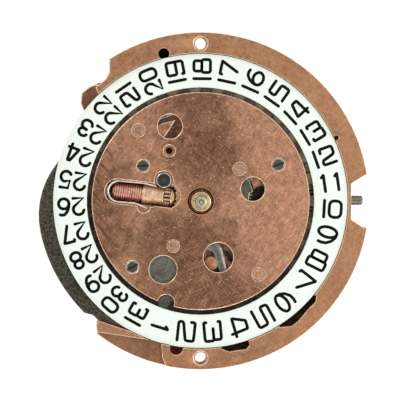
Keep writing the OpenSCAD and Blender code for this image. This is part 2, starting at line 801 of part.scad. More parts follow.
// Turned plunger: grooved body, two rims with a ring of leaves between them, domed end
module corrector_plunger() {
    r = plunger_r;
    color(brass) plunger_frame() rotate([0, 90, 0]) difference() {
        union() {
            rotate_extrude() polygon([[0, 0], [0.45, 0.02], [0.66, 0.12], [0.76, 0.3], [0.8, 0.34],
                [r, 0.36], [r, 0.54], [0.62, 0.56], [0.62, 1.12], [r, 1.14], [r, 1.26], [0.8, 1.3],
                [0.8, 2.2], [r, 2.3], [r, plunger_len - 0.05], [r - 0.05, plunger_len], [0, plunger_len]]);
            translate([0, 0, 0.5]) linear_extrude(0.66) gear_2d(18, 0.082, 0, 0.42, 0.8);
        }
        // Notch that the spring's free end drops into
        translate([0, r + 0.05, 1.95]) rotate([0, 90, 0]) cylinder(r = 0.28, h = 2, center = true);
    }
}

module hairpin_spring() {
    bend = [-7.12, 0.87];
    turn = 173.4;
    color(steel) slab(guard_top - wire - 0.02, guard_top - 0.02) {
        difference() {
            translate(bend) circle(0.98);
            translate(bend) circle(0.98 - wire);
            translate(bend) rotate(turn) translate([-2, -1.2]) square([2, 2.4]);
        }
        path([bend + polar(0.98 - wire / 2, turn - 90), [-4.93, 1.58], [-3.85, 1.3]], wire);
        path([bend + polar(0.98 - wire / 2, turn + 90), [-5.68, -0.16], [-4.66, -0.6]], wire);
    }
}

module spring_stud() {
    color(steel) at(spring_stud_at) difference() {
        union() {
            rod(spring_stud_r, guard_bot + 0.04, guard_top + 0.02);
            rod(stud_pin_r, -1.35, guard_bot + 0.05);
        }
        translate([0, 0, guard_top - 0.1]) cylinder(r1 = 0, r2 = 0.16, h = 0.13);
    }
}

// Winding and setting

module along_stem(x) {
    translate([x, 0, stem_z]) rotate([0, 90, 0]) children();
}

module winding_stem() {
    r = stem_d / 2;
    tr = stem_thread_d / 2;
    neck = 0.25;
    color(copper) {
        along_stem(6.95) translate([-0.27, -0.27, 0]) cube([0.54, 0.54, 2.2]);
        along_stem(0) rotate_extrude() polygon([[0, 9.1], [0.41, 9.1], [0.41, 10.36], [r, 10.4],
            [r, lever_pin_x - 0.19], [neck, lever_pin_x - 0.19], [neck, lever_pin_x + 0.19],
            [r, lever_pin_x + 0.19], [r, notch_at - 0.42], [tr * 0.84, notch_at + 0.02],
            [tr, notch_at + 0.14], [tr, stem_end - 0.1], [tr - 0.1, stem_end],
            [0, stem_end]]);
    }
}

module face_teeth_2d(r, inner, n) {
    difference() {
        gear_2d(n, 2 * (r - 0.08) / n, 0, 0.44, 0.5);
        circle(inner);
    }
}

module winding_pinion() {
    n = 14;
    m = winding_d / (n + 2);
    color(steel) along_stem(9.12) difference() {
        union() {
            linear_extrude(1.18) gear_2d(n, m, 90);
            cylinder(r = winding_d / 2 - 2.4 * m, h = 1.2);
        }
        translate([0, 0, -1]) cylinder(r = 0.41 + run, h = 3);
    }
}

module sliding_pinion() {
    r = sliding_d / 2;
    color(steel) along_stem(7.3) difference() {
        union() {
            rotate_extrude() polygon([[0, 0.16], [r, 0.16], [r, 0.7], [0.45, 0.7], [0.45, 1.1], [r, 1.1],
                [r, 1.62], [0, 1.62]]);
            linear_extrude(0.17) face_teeth_2d(r, 0.3, 14);
            translate([0, 0, 1.61]) linear_extrude(0.17) face_teeth_2d(r, 0.3, 14);
        }
        translate([-0.29, -0.29, -1]) cube([0.58, 0.58, 4]);
    }
}

module setting_lever() {
    color(steel) difference() {
        union() {
            slab(lever_bot, lever_top) setting_lever_2d();
            at([lever_pin_x, 0]) rod(0.15, stem_z + 0.28, lever_bot + 0.01);
            at(lever_at) rod(lever_pivot_r, -1.5, lever_bot + 0.01);
        }
        at(lever_at) rod(0.12, lever_top - 0.08, over);
    }
}

module yoke() {
    color(steel) difference() {
        union() {
            slab(lever_bot, lever_top) yoke_2d();
            translate([yoke_nose_x - 0.15, -0.6, stem_z + 0.5])
                cube([0.3, 0.95, lever_bot - stem_z - 0.49]);
        }
        at(yoke_at) rod(stud_pin_r + run, -over, over);
    }
}

module yoke_spring() {
    color(dark_steel) slab(lever_bot, lever_top) yoke_spring_2d();
}

// Barrel and going train

module barrel_drum() {
    r = barrel_teeth * barrel_module / 2 - 2 * barrel_module;
    color(brass) at(barrel_at) {
        difference() {
            rod(r, barrel_bot, barrel_top);
            rod(r - 0.25, barrel_bot - 1, barrel_top - 0.15);
            rod(barrel_boss_r + 0.02, barrel_bot - 1, over);
        }
        slab(barrel_tooth_top - barrel_tooth_t, barrel_tooth_top) difference() {
            gear_2d(barrel_teeth, barrel_module, barrel_phase);
            circle(r - 0.2);
        }
    }
}

module barrel_cover() {
    r = barrel_teeth * barrel_module / 2 - 2 * barrel_module - 0.25;
    color(brass) at(barrel_at) difference() {
        rod(r - 0.01, barrel_bot, barrel_bot + 0.15);
        rod(barrel_boss_r + 0.02, barrel_bot - 1, over);
    }
}

module barrel_arbor() {
    color(steel) at(barrel_at) {
        rod(barrel_boss_r, barrel_bot - 0.1, barrel_top + 0.1);
        rod(1.1, barrel_bot + 0.17, barrel_top - 0.17);
        rod(0.45, barrel_top + 0.09, plate_bot + 0.6);
        rod(barrel_boss_r, bridge_bot, barrel_bot - 0.09);
        translate([-0.4, -0.4, ratchet_bot + 0.02]) cube([0.8, 0.8, bridge_bot - ratchet_bot]);
    }
}

// Coiled mainspring as an even spiral ribbon
module mainspring() {
    r_in = 1.12;
    r_out = barrel_teeth * barrel_module / 2 - 2 * barrel_module - 0.28;
    turns = 9;
    ribbon = 0.14;
    steps = turns * 20;
    function spiral_r(i) = r_in + (r_out - ribbon - r_in) * i / steps;
    color(dark_steel) at(barrel_at) slab(barrel_bot + 0.19, barrel_top - 0.19)
        polygon(concat([for (i = [0 : steps]) polar(spiral_r(i) + ribbon, i * 18)],
            [for (i = [steps : -1 : 0]) polar(spiral_r(i), i * 18)]));
}

module centre_wheel() {
    color(brass) difference() {
        union() {
            slab(centre_bot, centre_top) wheel_2d(centre_teeth, centre_module, 0, 0.9, 5, 0.4);
            rod(centre_arbor_r, centre_top - 0.01, cannon_h - 0.35);
            rod(0.6, centre_bot - 0.05, centre_top + 0.06);
            slab(centre_pinion_bot, centre_bot) pinion_2d(centre_pinion_teeth, barrel_module, 0);
        }
        rod(seconds_r + 0.03, centre_pinion_bot - 1, over);
    }
}

module pivoted_arbor(r, low, high, low_end, high_end) {
    rod(r, low, high);
    rod(jewel_hole_r - pivot_play, low_end, low + 0.01);
    rod(jewel_hole_r - pivot_play, high - 0.01, high_end);
}

module third_wheel() {
    color(brass) at(third_pos) {
        slab(third_bot, third_top) wheel_2d(third_teeth, third_module, 0, 0.6, 4, 0.35);
        slab(centre_bot - 0.08, centre_top + 0.05)
            pinion_2d(third_pinion_teeth, centre_module, third_phase);
        pivoted_arbor(0.28, bridge_top + 0.06, plate_bot - 0.04, bridge_top - 0.2, plate_bot + 0.2);
    }
}

module seconds_wheel() {
    color(brass) {
        slab(seconds_bot, seconds_top) wheel_2d(seconds_teeth, seconds_module, 0, 0.6, 4, 0.35);
        slab(seconds_pinion_bot, seconds_pinion_top)
            pinion_2d(seconds_pinion_teeth, third_module, seconds_phase);
        rod(0.3, bridge_top + 0.05, seconds_pinion_bot + 0.01);
        rod(jewel_hole_r - pivot_play, bridge_top - 0.2, bridge_top + 0.06);
        taper(seconds_r - seconds_relief, seconds_r - 2 * seconds_relief, seconds_pinion_top - 0.01,
            cannon_h);
        rod(seconds_r, cannon_h, seconds_h);
    }
}

// Club-toothed escape wheel
module escape_wheel() {
    r = escape_d / 2;
    p = 360 / escape_teeth;
    color(steel) at(escape_pos) {
        slab(escape_bot, escape_top) difference() {
            polygon([for (i = [0 : escape_teeth - 1]) each [polar(r * 0.78, i * p),
                polar(r * 0.96, (i + 0.3) * p), polar(r, (i + 0.46) * p), polar(r * 0.93, (i + 0.5) * p),
                polar(r * 0.78, (i + 0.42) * p)]]);
            difference() {
                circle(r * 0.68);
                circle(0.5);
                for (i = [0 : 3]) rotate(i * 90 + 20) translate([0, -0.13]) square([r, 0.26]);
            }
        }
        slab(seconds_bot - 0.02, seconds_top + 0.15)
            pinion_2d(escape_pinion_teeth, seconds_module, escape_phase);
        pivoted_arbor(0.2, bridge_top + 0.04, plate_bot - 0.35, bridge_top - 0.2, plate_bot + 0.2);
    }
}

// Two-armed pallets with a forked lever that reaches the roller
module pallet_fork() {
    to_balance = heading(pallet_pos, balance_pos);
    reach = gap(pallet_pos, balance_pos) - 0.42;
    stone = pallet_reach * tan(30) * 1.02;
    color(steel) at(pallet_pos) rotate(to_balance) {
        slab(escape_bot, escape_top) {
            difference() {
                union() {
                    bar([0, 0], [reach - 0.2, 0], 0.3);
                    translate([reach - 0.3, -0.32]) square([0.42, 0.64]);
                }
                translate([reach - 0.08, -0.13]) square([0.4, 0.26]);
            }
            path([[-0.45, stone + 0.1], [-0.1, 0.8], [0, 0], [-0.1, -0.8], [-0.45, -stone - 0.1]], 0.34);
            circle(0.38);
        }
        pivoted_arbor(0.16, escape_bot - 0.25, plate_bot - 0.1, escape_bot - 0.45, plate_bot + 0.2);
    }
}

module pallet_bridge() {
    side = heading(escape_pos, balance_pos) + 90;
    low = escape_bot - 0.62;
    high = escape_bot - 0.28;
    color(copper) at(pallet_pos) rotate(side) difference() {
        union() {
            slab(low, high) bar([0, 0], [-2.3, 0], 0.95);
            at([-2.3, 0]) rod(0.47, high - 0.01, plate_bot);
        }
        rod(jewel_hole_r, low - 1, high + 1);
    }
}

module balance_wheel() {
    r = balance_d / 2;
    color(brass) at(balance_pos) {
        slab(balance_top - balance_rim_t, balance_top) annulus(r, r - 0.45);
        slab(balance_top - 0.28, balance_top - 0.12) {
            circle(0.6);
            for (a = [30, 150, 270]) rotate(a) translate([0, -0.2]) square([r - 0.2, 0.4]);
        }
        rod(0.22, bridge_top + 0.1, plate_bot - 0.2);
        rod(0.05, bridge_top - 0.15, bridge_top + 0.11);
        rod(0.05, plate_bot - 0.21, plate_bot + 0.15);
        rod(0.5, escape_bot - 0.3, escape_bot - 0.18);
        rotate(heading(balance_pos, pallet_pos)) at([0.34, 0]) rod(0.07, escape_bot - 0.2, escape_top);
        rod(0.4, balance_top - 0.75, balance_top - 0.45);
    }
}

module hairspring() {
    turns = 8;
    steps = turns * 20;
    inner = 0.42;
    outer = 2.1;
    thick = 0.05;
    function coil_r(i) = inner + (outer - inner) * i / steps;
    color(steel) at(balance_pos) {
        slab(balance_top - 0.7, balance_top - 0.5)
            polygon(concat([for (i = [0 : steps]) polar(coil_r(i) + thick, i * 18)],
                [for (i = [steps : -1 : 0]) polar(coil_r(i), i * 18)]));
        at([outer + 0.02, 0]) rod(0.16, bridge_top + 0.005, balance_top - 0.48);
    }
}

// Bridges

module cock_2d() {
    difference() {
        union() {
            translate(balance_pos) circle(1.7);
            bar(balance_pos, polar(10.2, 142), 2.6);
            intersection() {
                polygon([[-7.6, 9.6], [-8.65, 10.29], [-9.58, 9.95], [-10.3, 9.41], [-10.42, 8.5],
                    [-10.2, 7.9], [-9.0, 6.4], [-7.0, 7.0]]);
                circle(plate_d / 2 - 0.6);
            }
        }
        translate(balance_pos) circle(jewel_r);
    }
}

module balance_cock() {
    color(copper) difference() {
        union() {
            slab(bridge_bot, bridge_top) cock_2d();
            slab(bridge_top - 0.01, plate_bot) intersection() {
                cock_2d();
                translate(cock_screw) circle(2.6);
                difference() {
                    circle(far);
                    translate(balance_pos) circle(balance_d / 2 + 0.3);
                }
            }
        }
        at(cock_screw) rod(screw_thread_d / 2 + 0.03, -far, far);
        at(cock_screw) rod(screw_head_d / 2 + 0.05, -far, bridge_bot + 0.3);
    }
}

module regulator() {
    color(steel) at(balance_pos) slab(bridge_bot - 0.16, bridge_bot - 0.02) difference() {
        union() {
            circle(1.15);
            bar([0, 0], [0.5, 2.9], 0.35);
            bar([0, 0], [1.9, 0.6], 0.3);
        }
        circle(0.62);
    }
}

module barrel_bridge_2d() {
    difference() {
        intersection() {
            circle(bridge_r);
            polygon(concat(arc(far, -112, 24, 4), [polar(bridge_r - 0.2, 24), [9.6, 3.1], [5.2, 2.6],
                [4.4, 0.9], [2.6, -1.2], [0.2, -1.9], [-2.2, -4.6], [-3.9, -8.3],
                polar(bridge_r - 0.2, -112)]));
        }
        translate(barrel_at) circle(barrel_boss_r + 0.02);
        translate(crown_pos) circle(crown_wheel_arbor_r + 0.04);
        translate(click_at) circle(click_pin_r + run);
    }
}

module train_bridge_2d() {
    intersection() {
        circle(bridge_r);
        polygon(concat(arc(far, 28, 118, 4), [polar(bridge_r - 0.2, 118), [-5.3, 8.2], [-3.5, 3.0],
            [-5.2, 0.2], [-5.2, -2.6], [-5.9, -4.6], [-5.2, -5.8], [-3.9, -5.6], [-1.9, -3.6],
            [-0.1, -1.4], [2.3, -0.8], [4.0, 1.4], [5.0, 3.2], [9.4, 3.6], polar(bridge_r - 0.2, 28)]));
    }
}

module bridge_body(screws, foot_r, wall_from, wall_to) {
    difference() {
        union() {
            slab(bridge_bot, bridge_top) children();
            slab(bridge_top - 0.01, plate_bot) intersection() {
                annulus(bridge_r - wall_inset, bridge_r - wall_inset - bridge_wall);
                sector(far, wall_from, wall_to);
            }
            for (p = screws) at(p) rod(foot_r, bridge_top - 0.01, plate_bot);
        }
        for (p = auto_screws) at(p) rod(screw_thread_d / 2, -far, bridge_top - 0.1);
        for (p = screws) at(p) rod(screw_thread_d / 2 + 0.03, -far, far);
        for (p = screws) at(p) rod(screw_head_d / 2 + 0.05, -far, bridge_bot + 0.3);
    }
}

module barrel_bridge() {
    color(copper) bridge_body(barrel_screws, 1.0, -100, -70) barrel_bridge_2d();
}

module train_bridge() {
    color(copper) difference() {
        bridge_body(train_screws, 1.0, 36, 112) train_bridge_2d();
        for (p = [third_pos, escape_pos, centre]) at(p) rod(jewel_r, -far, far);
    }
}

module train_jewels() {
    places = [third_pos, escape_pos, pallet_pos, balance_pos];
    color(ruby) {
        for (p = places) at(p) difference() {
            rod(jewel_r - 0.01, plate_bot, plate_bot + jewel_t - 0.01);
            rod(jewel_hole_r, -far, far);
        }
        for (p = [third_pos, escape_pos, centre, balance_pos]) at(p) difference() {
            rod(jewel_r - 0.01, bridge_top - jewel_t, bridge_top);
            rod(jewel_hole_r, -far, far);
        }
    }
}

// Keyless and automatic winding on the bridge side

module crown_wheel() {
    n = 24;
    m = 0.16;
    color(steel) at(crown_pos) {
        slab(crown_bot, crown_top) gear_2d(n, m, 0, 0.4, 0.7);
        rod(crown_wheel_arbor_r, ratchet_top - 0.01, crown_bot + 0.01);
        slab(ratchet_bot, ratchet_top) gear_2d(transmission_teeth, ratchet_module, transmission_phase);
    }
}

module ratchet_wheel() {
    color(steel) at(barrel_at) difference() {
        slab(ratchet_bot, ratchet_top) gear_2d(ratchet_teeth, ratchet_module, 0);
        translate([-0.41, -0.41, -far]) cube([0.82, 0.82, 2 * far]);
    }
}

module ratchet_screw() {
    color(steel) at(barrel_at) difference() {
        rod(0.9, ratchet_bot - 0.16, ratchet_bot - 0.01);
        translate([-1, -0.12, ratchet_bot - 0.2]) cube([2, 0.24, 0.11]);
    }
}

module click() {
    beak = barrel_at + polar(ratchet_r + click_w / 2 + 0.01, -28);
    color(steel) {
        slab(ratchet_bot + 0.02, ratchet_top) {
            translate(click_at) circle(click_boss_r);
            bar(click_at, beak, click_w);
        }
        at(click_at) rod(click_pin_r, ratchet_top - 0.01, bridge_bot + 0.3);
    }
}

module click_spring() {
    color(steel) slab(ratchet_bot + 0.06, ratchet_top) {
        translate(click_spring_at) circle(0.5);
        path([click_spring_at, click_at + [0.65, -2.0], click_at + [0.24, -click_boss_r - 0.2]], 0.16);
    }
}

module bridge_screws() {
    color(steel) for (p = concat(train_screws, barrel_screws, [cock_screw]))
        translate([p[0], p[1], bridge_bot + 0.01]) rotate([180, 0, 0])
            slotted_screw(screw_head_d, 0.28, screw_thread_d - 0.02, bridge_t + train_gap + 0.85, 0.22, 35);
}

module automatic_bridge() {
    color(copper) difference() {
        union() {
            slab(auto_bot, auto_top) {
                circle(2.6);
                for (p = auto_screws) bar(centre, p, 2.3);
                bar(reverser_at, reduction_at, 2.2);
                bar(centre, reduction_at, 2.4);
            }
            for (p = auto_screws) at(p) rod(1.0, auto_top - 0.01, bridge_bot);
        }
        rod(bearing_r + run, -far, far);
        for (p = auto_screws) at(p) {
            rod(0.45, -far, far);
            rod(0.8, -far, auto_bot + 0.2);
        }
        for (p = [reverser_at, reduction_at]) at(p) rod(0.2, -far, auto_top + 1);
    }
}

module automatic_bridge_screws() {
    color(steel) for (p = auto_screws) translate([p[0], p[1], auto_bot + 0.01]) rotate([180, 0, 0])
        slotted_screw(1.4, 0.19, 0.8, auto_t + relay_gear_bot - auto_top + 0.9, 0.2, 70);
}

module reverser_wheel() {
    color(brass) at(reverser_at) {
        slab(ratchet_bot + 0.06, ratchet_top - 0.03) gear_2d(reverser_teeth, rotor_module, reverser_phase);
        slab(relay_gear_bot, ratchet_bot + 0.07) pinion_2d(reverser_pinion_teeth, reduction_module, 0);
        rod(0.18, auto_bot + 0.05, relay_gear_bot + 0.01);
    }
}

module reduction_wheel() {
    color(brass) at(reduction_at) {
        slab(relay_gear_bot, relay_gear_top) gear_2d(reduction_teeth, reduction_module, reduction_phase);
        slab(relay_gear_top - 0.01, ratchet_top - 0.02)
            pinion_2d(reduction_pinion_teeth, ratchet_module, reduction_pinion_phase);
        rod(0.18, auto_bot + 0.05, relay_gear_bot + 0.01);
    }
}

// Rotor outline: rounded leading end, full radius beside the date ring, stepped in under the plate
module rotor_2d() {
    c = polar(weight_r - weight_end_r, weight_turn);
    under_r = weight_r - weight_step;
    polygon(concat([for (i = [0 : 12]) c + polar(weight_end_r, 104 + (weight_turn - 104) * i / 12)],
        arc(weight_r, weight_turn + 3, 225, 10),
        [polar(weight_r - 0.38, 227.7), polar(weight_r - 0.33, 230.8), polar(weight_r - 0.78, 237.7)],
        arc(under_r, 246, 336, 24),
        [polar(9, 337), [2.4, -1.0], [1.2, 2.2], [-1.2, 2.2]]));
    circle(2.4);
}

module rotor_arm() {
    color(copper) difference() {
        union() {
            slab(arm_bot, arm_top) intersection() {
                rotor_2d();
                circle(weight_r - weight_w + weight_lap);
            }
            rod(bearing_r - 0.01, arm_top - 0.01, auto_top + 0.03);
            slab(auto_top + 0.02, ratchet_top - 0.04) pinion_2d(rotor_pinion_teeth, rotor_module, 0);
        }
        slab(arm_bot - 1, arm_top + 0.01) difference() {
            intersection() {
                annulus(9.4, 4.2);
                sector(10, 205, 285);
            }
            for (a = [232, 258]) rotate(a) translate([0, -0.5]) square([12, 1]);
        }
        rod(0.4, -far, far);
    }
}

module rotor_weight() {
    color(heavy) difference() {
        slab(weight_bot, weight_top) difference() {
            rotor_2d();
            circle(weight_r - weight_w);
        }
        slab(arm_bot - 0.01, arm_top + 0.01) circle(weight_r - weight_w + weight_lap + 0.01);
    }
}

module rotor_screw() {
    color(steel) difference() {
        union() {
            rod(0.9, arm_bot - 0.11, arm_bot);
            rod(0.38, arm_bot - 0.01, auto_top - 0.02);
        }
        translate([-1, -0.12, arm_bot - 0.2]) cube([2, 0.24, 0.15]);
    }
}

main_plate();
date_ring();
guard_plate();
guard_plate_screws();
guard_plate_studs();
hour_wheel();
cannon_pinion();
minute_wheel();
minute_train_cover();
intermediate_setting_wheel();
setting_wheel();
date_idler();
date_intermediate_wheel();
date_driving_wheel();
date_jumper();
date_jumper_spring();
corrector_plunger();
hairpin_spring();
spring_stud();
winding_stem();
winding_pinion();
sliding_pinion();
setting_lever();
yoke();
yoke_spring();
barrel_drum();
barrel_cover();
barrel_arbor();
mainspring();
centre_wheel();
third_wheel();
seconds_wheel();
escape_wheel();
pallet_fork();
pallet_bridge();
balance_wheel();
hairspring();
balance_cock();
regulator();
barrel_bridge();
train_bridge();
crown_wheel();
ratchet_wheel();
ratchet_screw();
click();
click_spring();
bridge_screws();
train_jewels();
automatic_bridge();
automatic_bridge_screws();
reverser_wheel();
reduction_wheel();
rotor_arm();
rotor_weight();
rotor_screw();
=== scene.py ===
import json
import math

import bmesh
import bpy
from bpy.props import FloatProperty, FloatVectorProperty, PointerProperty
from mathutils import Matrix, Vector

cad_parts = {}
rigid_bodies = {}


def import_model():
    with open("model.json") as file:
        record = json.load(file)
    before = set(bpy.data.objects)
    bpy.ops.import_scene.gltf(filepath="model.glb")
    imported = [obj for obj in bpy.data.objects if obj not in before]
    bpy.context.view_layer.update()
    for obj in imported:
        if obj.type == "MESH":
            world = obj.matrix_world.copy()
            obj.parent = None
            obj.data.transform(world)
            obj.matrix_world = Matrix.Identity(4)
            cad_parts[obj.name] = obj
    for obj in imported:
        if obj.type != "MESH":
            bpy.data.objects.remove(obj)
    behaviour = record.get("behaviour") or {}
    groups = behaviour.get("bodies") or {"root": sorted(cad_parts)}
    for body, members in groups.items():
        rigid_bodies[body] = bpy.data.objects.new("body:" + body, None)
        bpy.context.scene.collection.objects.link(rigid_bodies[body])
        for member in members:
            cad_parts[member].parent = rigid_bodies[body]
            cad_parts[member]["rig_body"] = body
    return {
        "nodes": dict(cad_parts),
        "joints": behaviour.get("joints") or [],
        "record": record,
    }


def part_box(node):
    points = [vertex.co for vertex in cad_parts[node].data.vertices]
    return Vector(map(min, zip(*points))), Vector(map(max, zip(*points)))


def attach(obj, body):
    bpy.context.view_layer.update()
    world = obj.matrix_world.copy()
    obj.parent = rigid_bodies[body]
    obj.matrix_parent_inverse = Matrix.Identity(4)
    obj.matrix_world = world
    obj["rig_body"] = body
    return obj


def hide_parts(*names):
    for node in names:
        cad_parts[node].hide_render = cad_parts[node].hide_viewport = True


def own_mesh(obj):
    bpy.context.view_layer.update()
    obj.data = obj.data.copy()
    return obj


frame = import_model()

bl_info = {
    "name": "Self-winding watch movement",
    "version": (1, 0, 0),
    "blender": (4, 5, 0),
    "location": "3D View > Sidebar > Movement",
    "description": "Dresses the packed solids of a self-winding watch movement for a picture",
    "category": "Object",
}

# Sizes are in millimetres, in the frame of the solids, and are turned into metres where a mesh is made.
MM = 0.001
UP = Vector((0, 0, 1))
ORIGIN = (0, 0, 0)


def level(node, top=True):
    """Height of a node's top or bottom in millimetres."""
    low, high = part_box(node)
    return (high if top else low).z / MM


PLATE_TOP = level("main_plate")
PLATE_BOTTOM = level("main_plate", False)
STEP_DEPTH = 0.5
GUARD_TOP = level("guard_plate")
LEDGE = level("guard_plate", False)
RING_TOP = level("date_ring")
RING_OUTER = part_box("date_ring")[1].x / MM
RECESS_FLOOR = level("date_ring", False) - 0.03
LOWEST = level("rotor_weight", False)

# Depth of the shallow bevels that mirror the walls, how far a film stands clear of what is below, and how
# close two heights are that count as one
SHALLOW = 0.03
CLEAR = 0.002
SAME_HEIGHT = 0.004
# Angles in degrees above which an edge is bevelled and an edge is shaded sharp
HARD = 35.0
SHARP = 32.0
SHARP_ON_FLATS = 20.0
SHARP_ON_WIRE = 60.0

# Holes of the main plate beside the ring as (middle, reach), the first painted black as shade and the second
# rusty, the corner beyond which its step is a deep well painted dark as shade, and the radius from which its
# recess is bare, painted dark as shade
DARK_HOLE = ((-3.2, 12.79), 0.5)
RUSTY_HOLE = ((-2.13, -12.8), 0.6)
DEEP_CORNER = (2, -7.5)
BARE_RADIUS = 9.0
# Windows of the guard plate towards eleven and seven o'clock
WINDOW_A = (-2.67, 6.49)
WINDOW_F = (-3.03, -8.84)
GUARD_SCREWS = ((-5.01, 3.08), (6.73, 3.16), (-5.93, -5.7))
GUARD_PINS = ((-5.4, 6.16), (3.37, 2.81), (5.03, -6.38), (-2.37, -3.88))
STUD_AT = (-3.2, 1.83)
# Darker patches of the guard plate as (middle, reach, depth of the darkening): tarnish, and painted shade
# that leaves the plate lightest on the right
TARNISH_AND_SHADE = (((0.6, 4.2), 4.4, 0.95), ((-0.2, -2.9), 3.3, 0.95), ((-0.2, -7.2), 6.6, 0.95),
           ((-0.8, 9.2), 4.8, 0.85), ((-9.2, 0.3), 4.8, 0.7), ((-3.6, -4.2), 3.8, 0.7),
           ((-8.4, -4.2), 3.2, 0.6), ((4.6, -9.0), 3.6, 0.6))

# Front end of the plunger's axis, the heading of the axis in degrees, and the plunger's travel
PLUNGER_TIP = (-2.1, 0.29, -0.95)
PLUNGER_TURN = 173.4
PLUNGER_MIDDLE = (0, 0, -0.95)
PLUNGER_LEAVES = 14
# The coil on the plunger's tail: where it starts along the axis, how long it is, its turns and its wire
COIL_START = 3.0
COIL_TURNS = 12
COIL_PITCH = 0.198
COIL_RADIUS = 0.71
COIL_WIRE = 0.105
# Middle and radius of the round end of the plunger's slot
SLOT_END = (-2.76, 0.46)
SLOT_END_RADIUS = 1.0


def body_of(node):
    """The body that a node rides on."""
    return frame["nodes"][node]["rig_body"]


def axis_of(node):
    """Place of the axis that a node turns about."""
    for joint in frame["joints"]:
        if joint["child"] == body_of(node):
            return Vector(joint["pos_m"]) / MM
    raise RuntimeError("no joint turns " + node)


def linear(srgb):
    """Linear colour of an sRGB colour given in 0 to 255."""
    return tuple(c / 12.92 / 255 if c <= 10 else ((c / 255 + 0.055) / 1.055) ** 2.4 for c in srgb)


def size(name, description, default, least, most, **more):
    """A size, in millimetres if it has no unit."""
    return FloatProperty(name=name, description=description, default=default, min=least, max=most, **more)


def colour(name, description, srgb):
    return FloatVectorProperty(name=name, description=description, subtype="COLOR", size=3,
                               default=linear(srgb), min=0, max=1)


class MovementPrintSizes(bpy.types.PropertyGroup):
    height: size("Numeral height", "Height of the printed dates, in mm", 1.43, 1.0, 1.8)
    stroke: size("Stroke width", "Width of the printed strokes, in mm", 0.275, 0.1, 0.4)
    film: size("Print thickness", "Thickness of the printed ink, in mm", 0.012, 0.004, 0.03)


class MovementEdgeSizes(bpy.types.PropertyGroup):
    plate: size("Plate edge", "Width of the bright edges of the main plate, in mm", 0.05, 0.01, 0.12)
    guard: size("Guard plate edge", "Width of the bright edges of the guard plate, in mm", 0.055, 0.01, 0.1)
    small: size("Small edge", "Width of the edges of small parts, in mm", 0.02, 0.005, 0.05)
    bridge: size("Bridge edge", "Width of the bevels on the bridges, in mm", 0.09, 0.02, 0.15)


class MovementColours(bpy.types.PropertyGroup):
    rim: colour("Main plate", "Copper plating of the main plate's rim", (184, 137, 103))
    guard: colour("Guard plate", "Worn copper plating of the guard plate", (194, 144, 113))
    # The darker patches stand for tarnish and for painted shade
    cloud: colour("Tarnish", "Darker patches on the guard plate", (131, 93, 71))
    brass: colour("Brass", "Wheels, barrel and plunger", (196, 158, 106))
    steel: colour("Steel", "Levers, springs and steel wheels", (138, 136, 122))
    weight: colour("Heavy metal", "Sintered segment of the rotor", (82, 79, 68))
    lacquer: colour("Lacquer", "Printed band of the date ring", (234, 242, 234))
    ink: colour("Ink", "Numerals of the date ring", (5, 7, 4))
    ruby: colour("Ruby", "Jewels of the train", (150, 22, 58))


class MovementStudio(bpy.types.PropertyGroup):
    distance: size("Camera distance", "Distance of the camera from the dial", 0.25, 0.1, 1.0, unit="LENGTH")
    lean: size("Camera lean", "Lean of the camera from the dial's axis", math.radians(3.5), 0,
               math.radians(20), unit="ROTATION")
    field: size("Field width", "Width of the view in the dial's plane", 0.03468, 0.01, 0.1, unit="LENGTH")


class Graph:
    """A node tree to which nodes are added one call at a time."""

    def __init__(self, owner):
        owner.use_nodes = True
        self.nodes, self.links = owner.node_tree.nodes, owner.node_tree.links
        self.coordinates = self.nodes.new("ShaderNodeTexCoord")

    def feed(self, socket, value):
        """Sets a socket to a value, or links another node's output to it."""
        if isinstance(value, bpy.types.NodeSocket):
            self.links.new(value, socket)
        elif socket.type == "RGBA":
            socket.default_value = (*value[:3], 1)
        else:
            socket.default_value = value

    def node(self, kind, inputs, output=0, **settings):
        """Adds a node with its settings and inputs, and gives one of its outputs."""
        made = self.nodes.new("ShaderNode" + kind)
        for name, value in settings.items():
            setattr(made, name, value)
        for key, value in inputs.items():
            self.feed(made.inputs[key], value)
        return made.outputs[output]


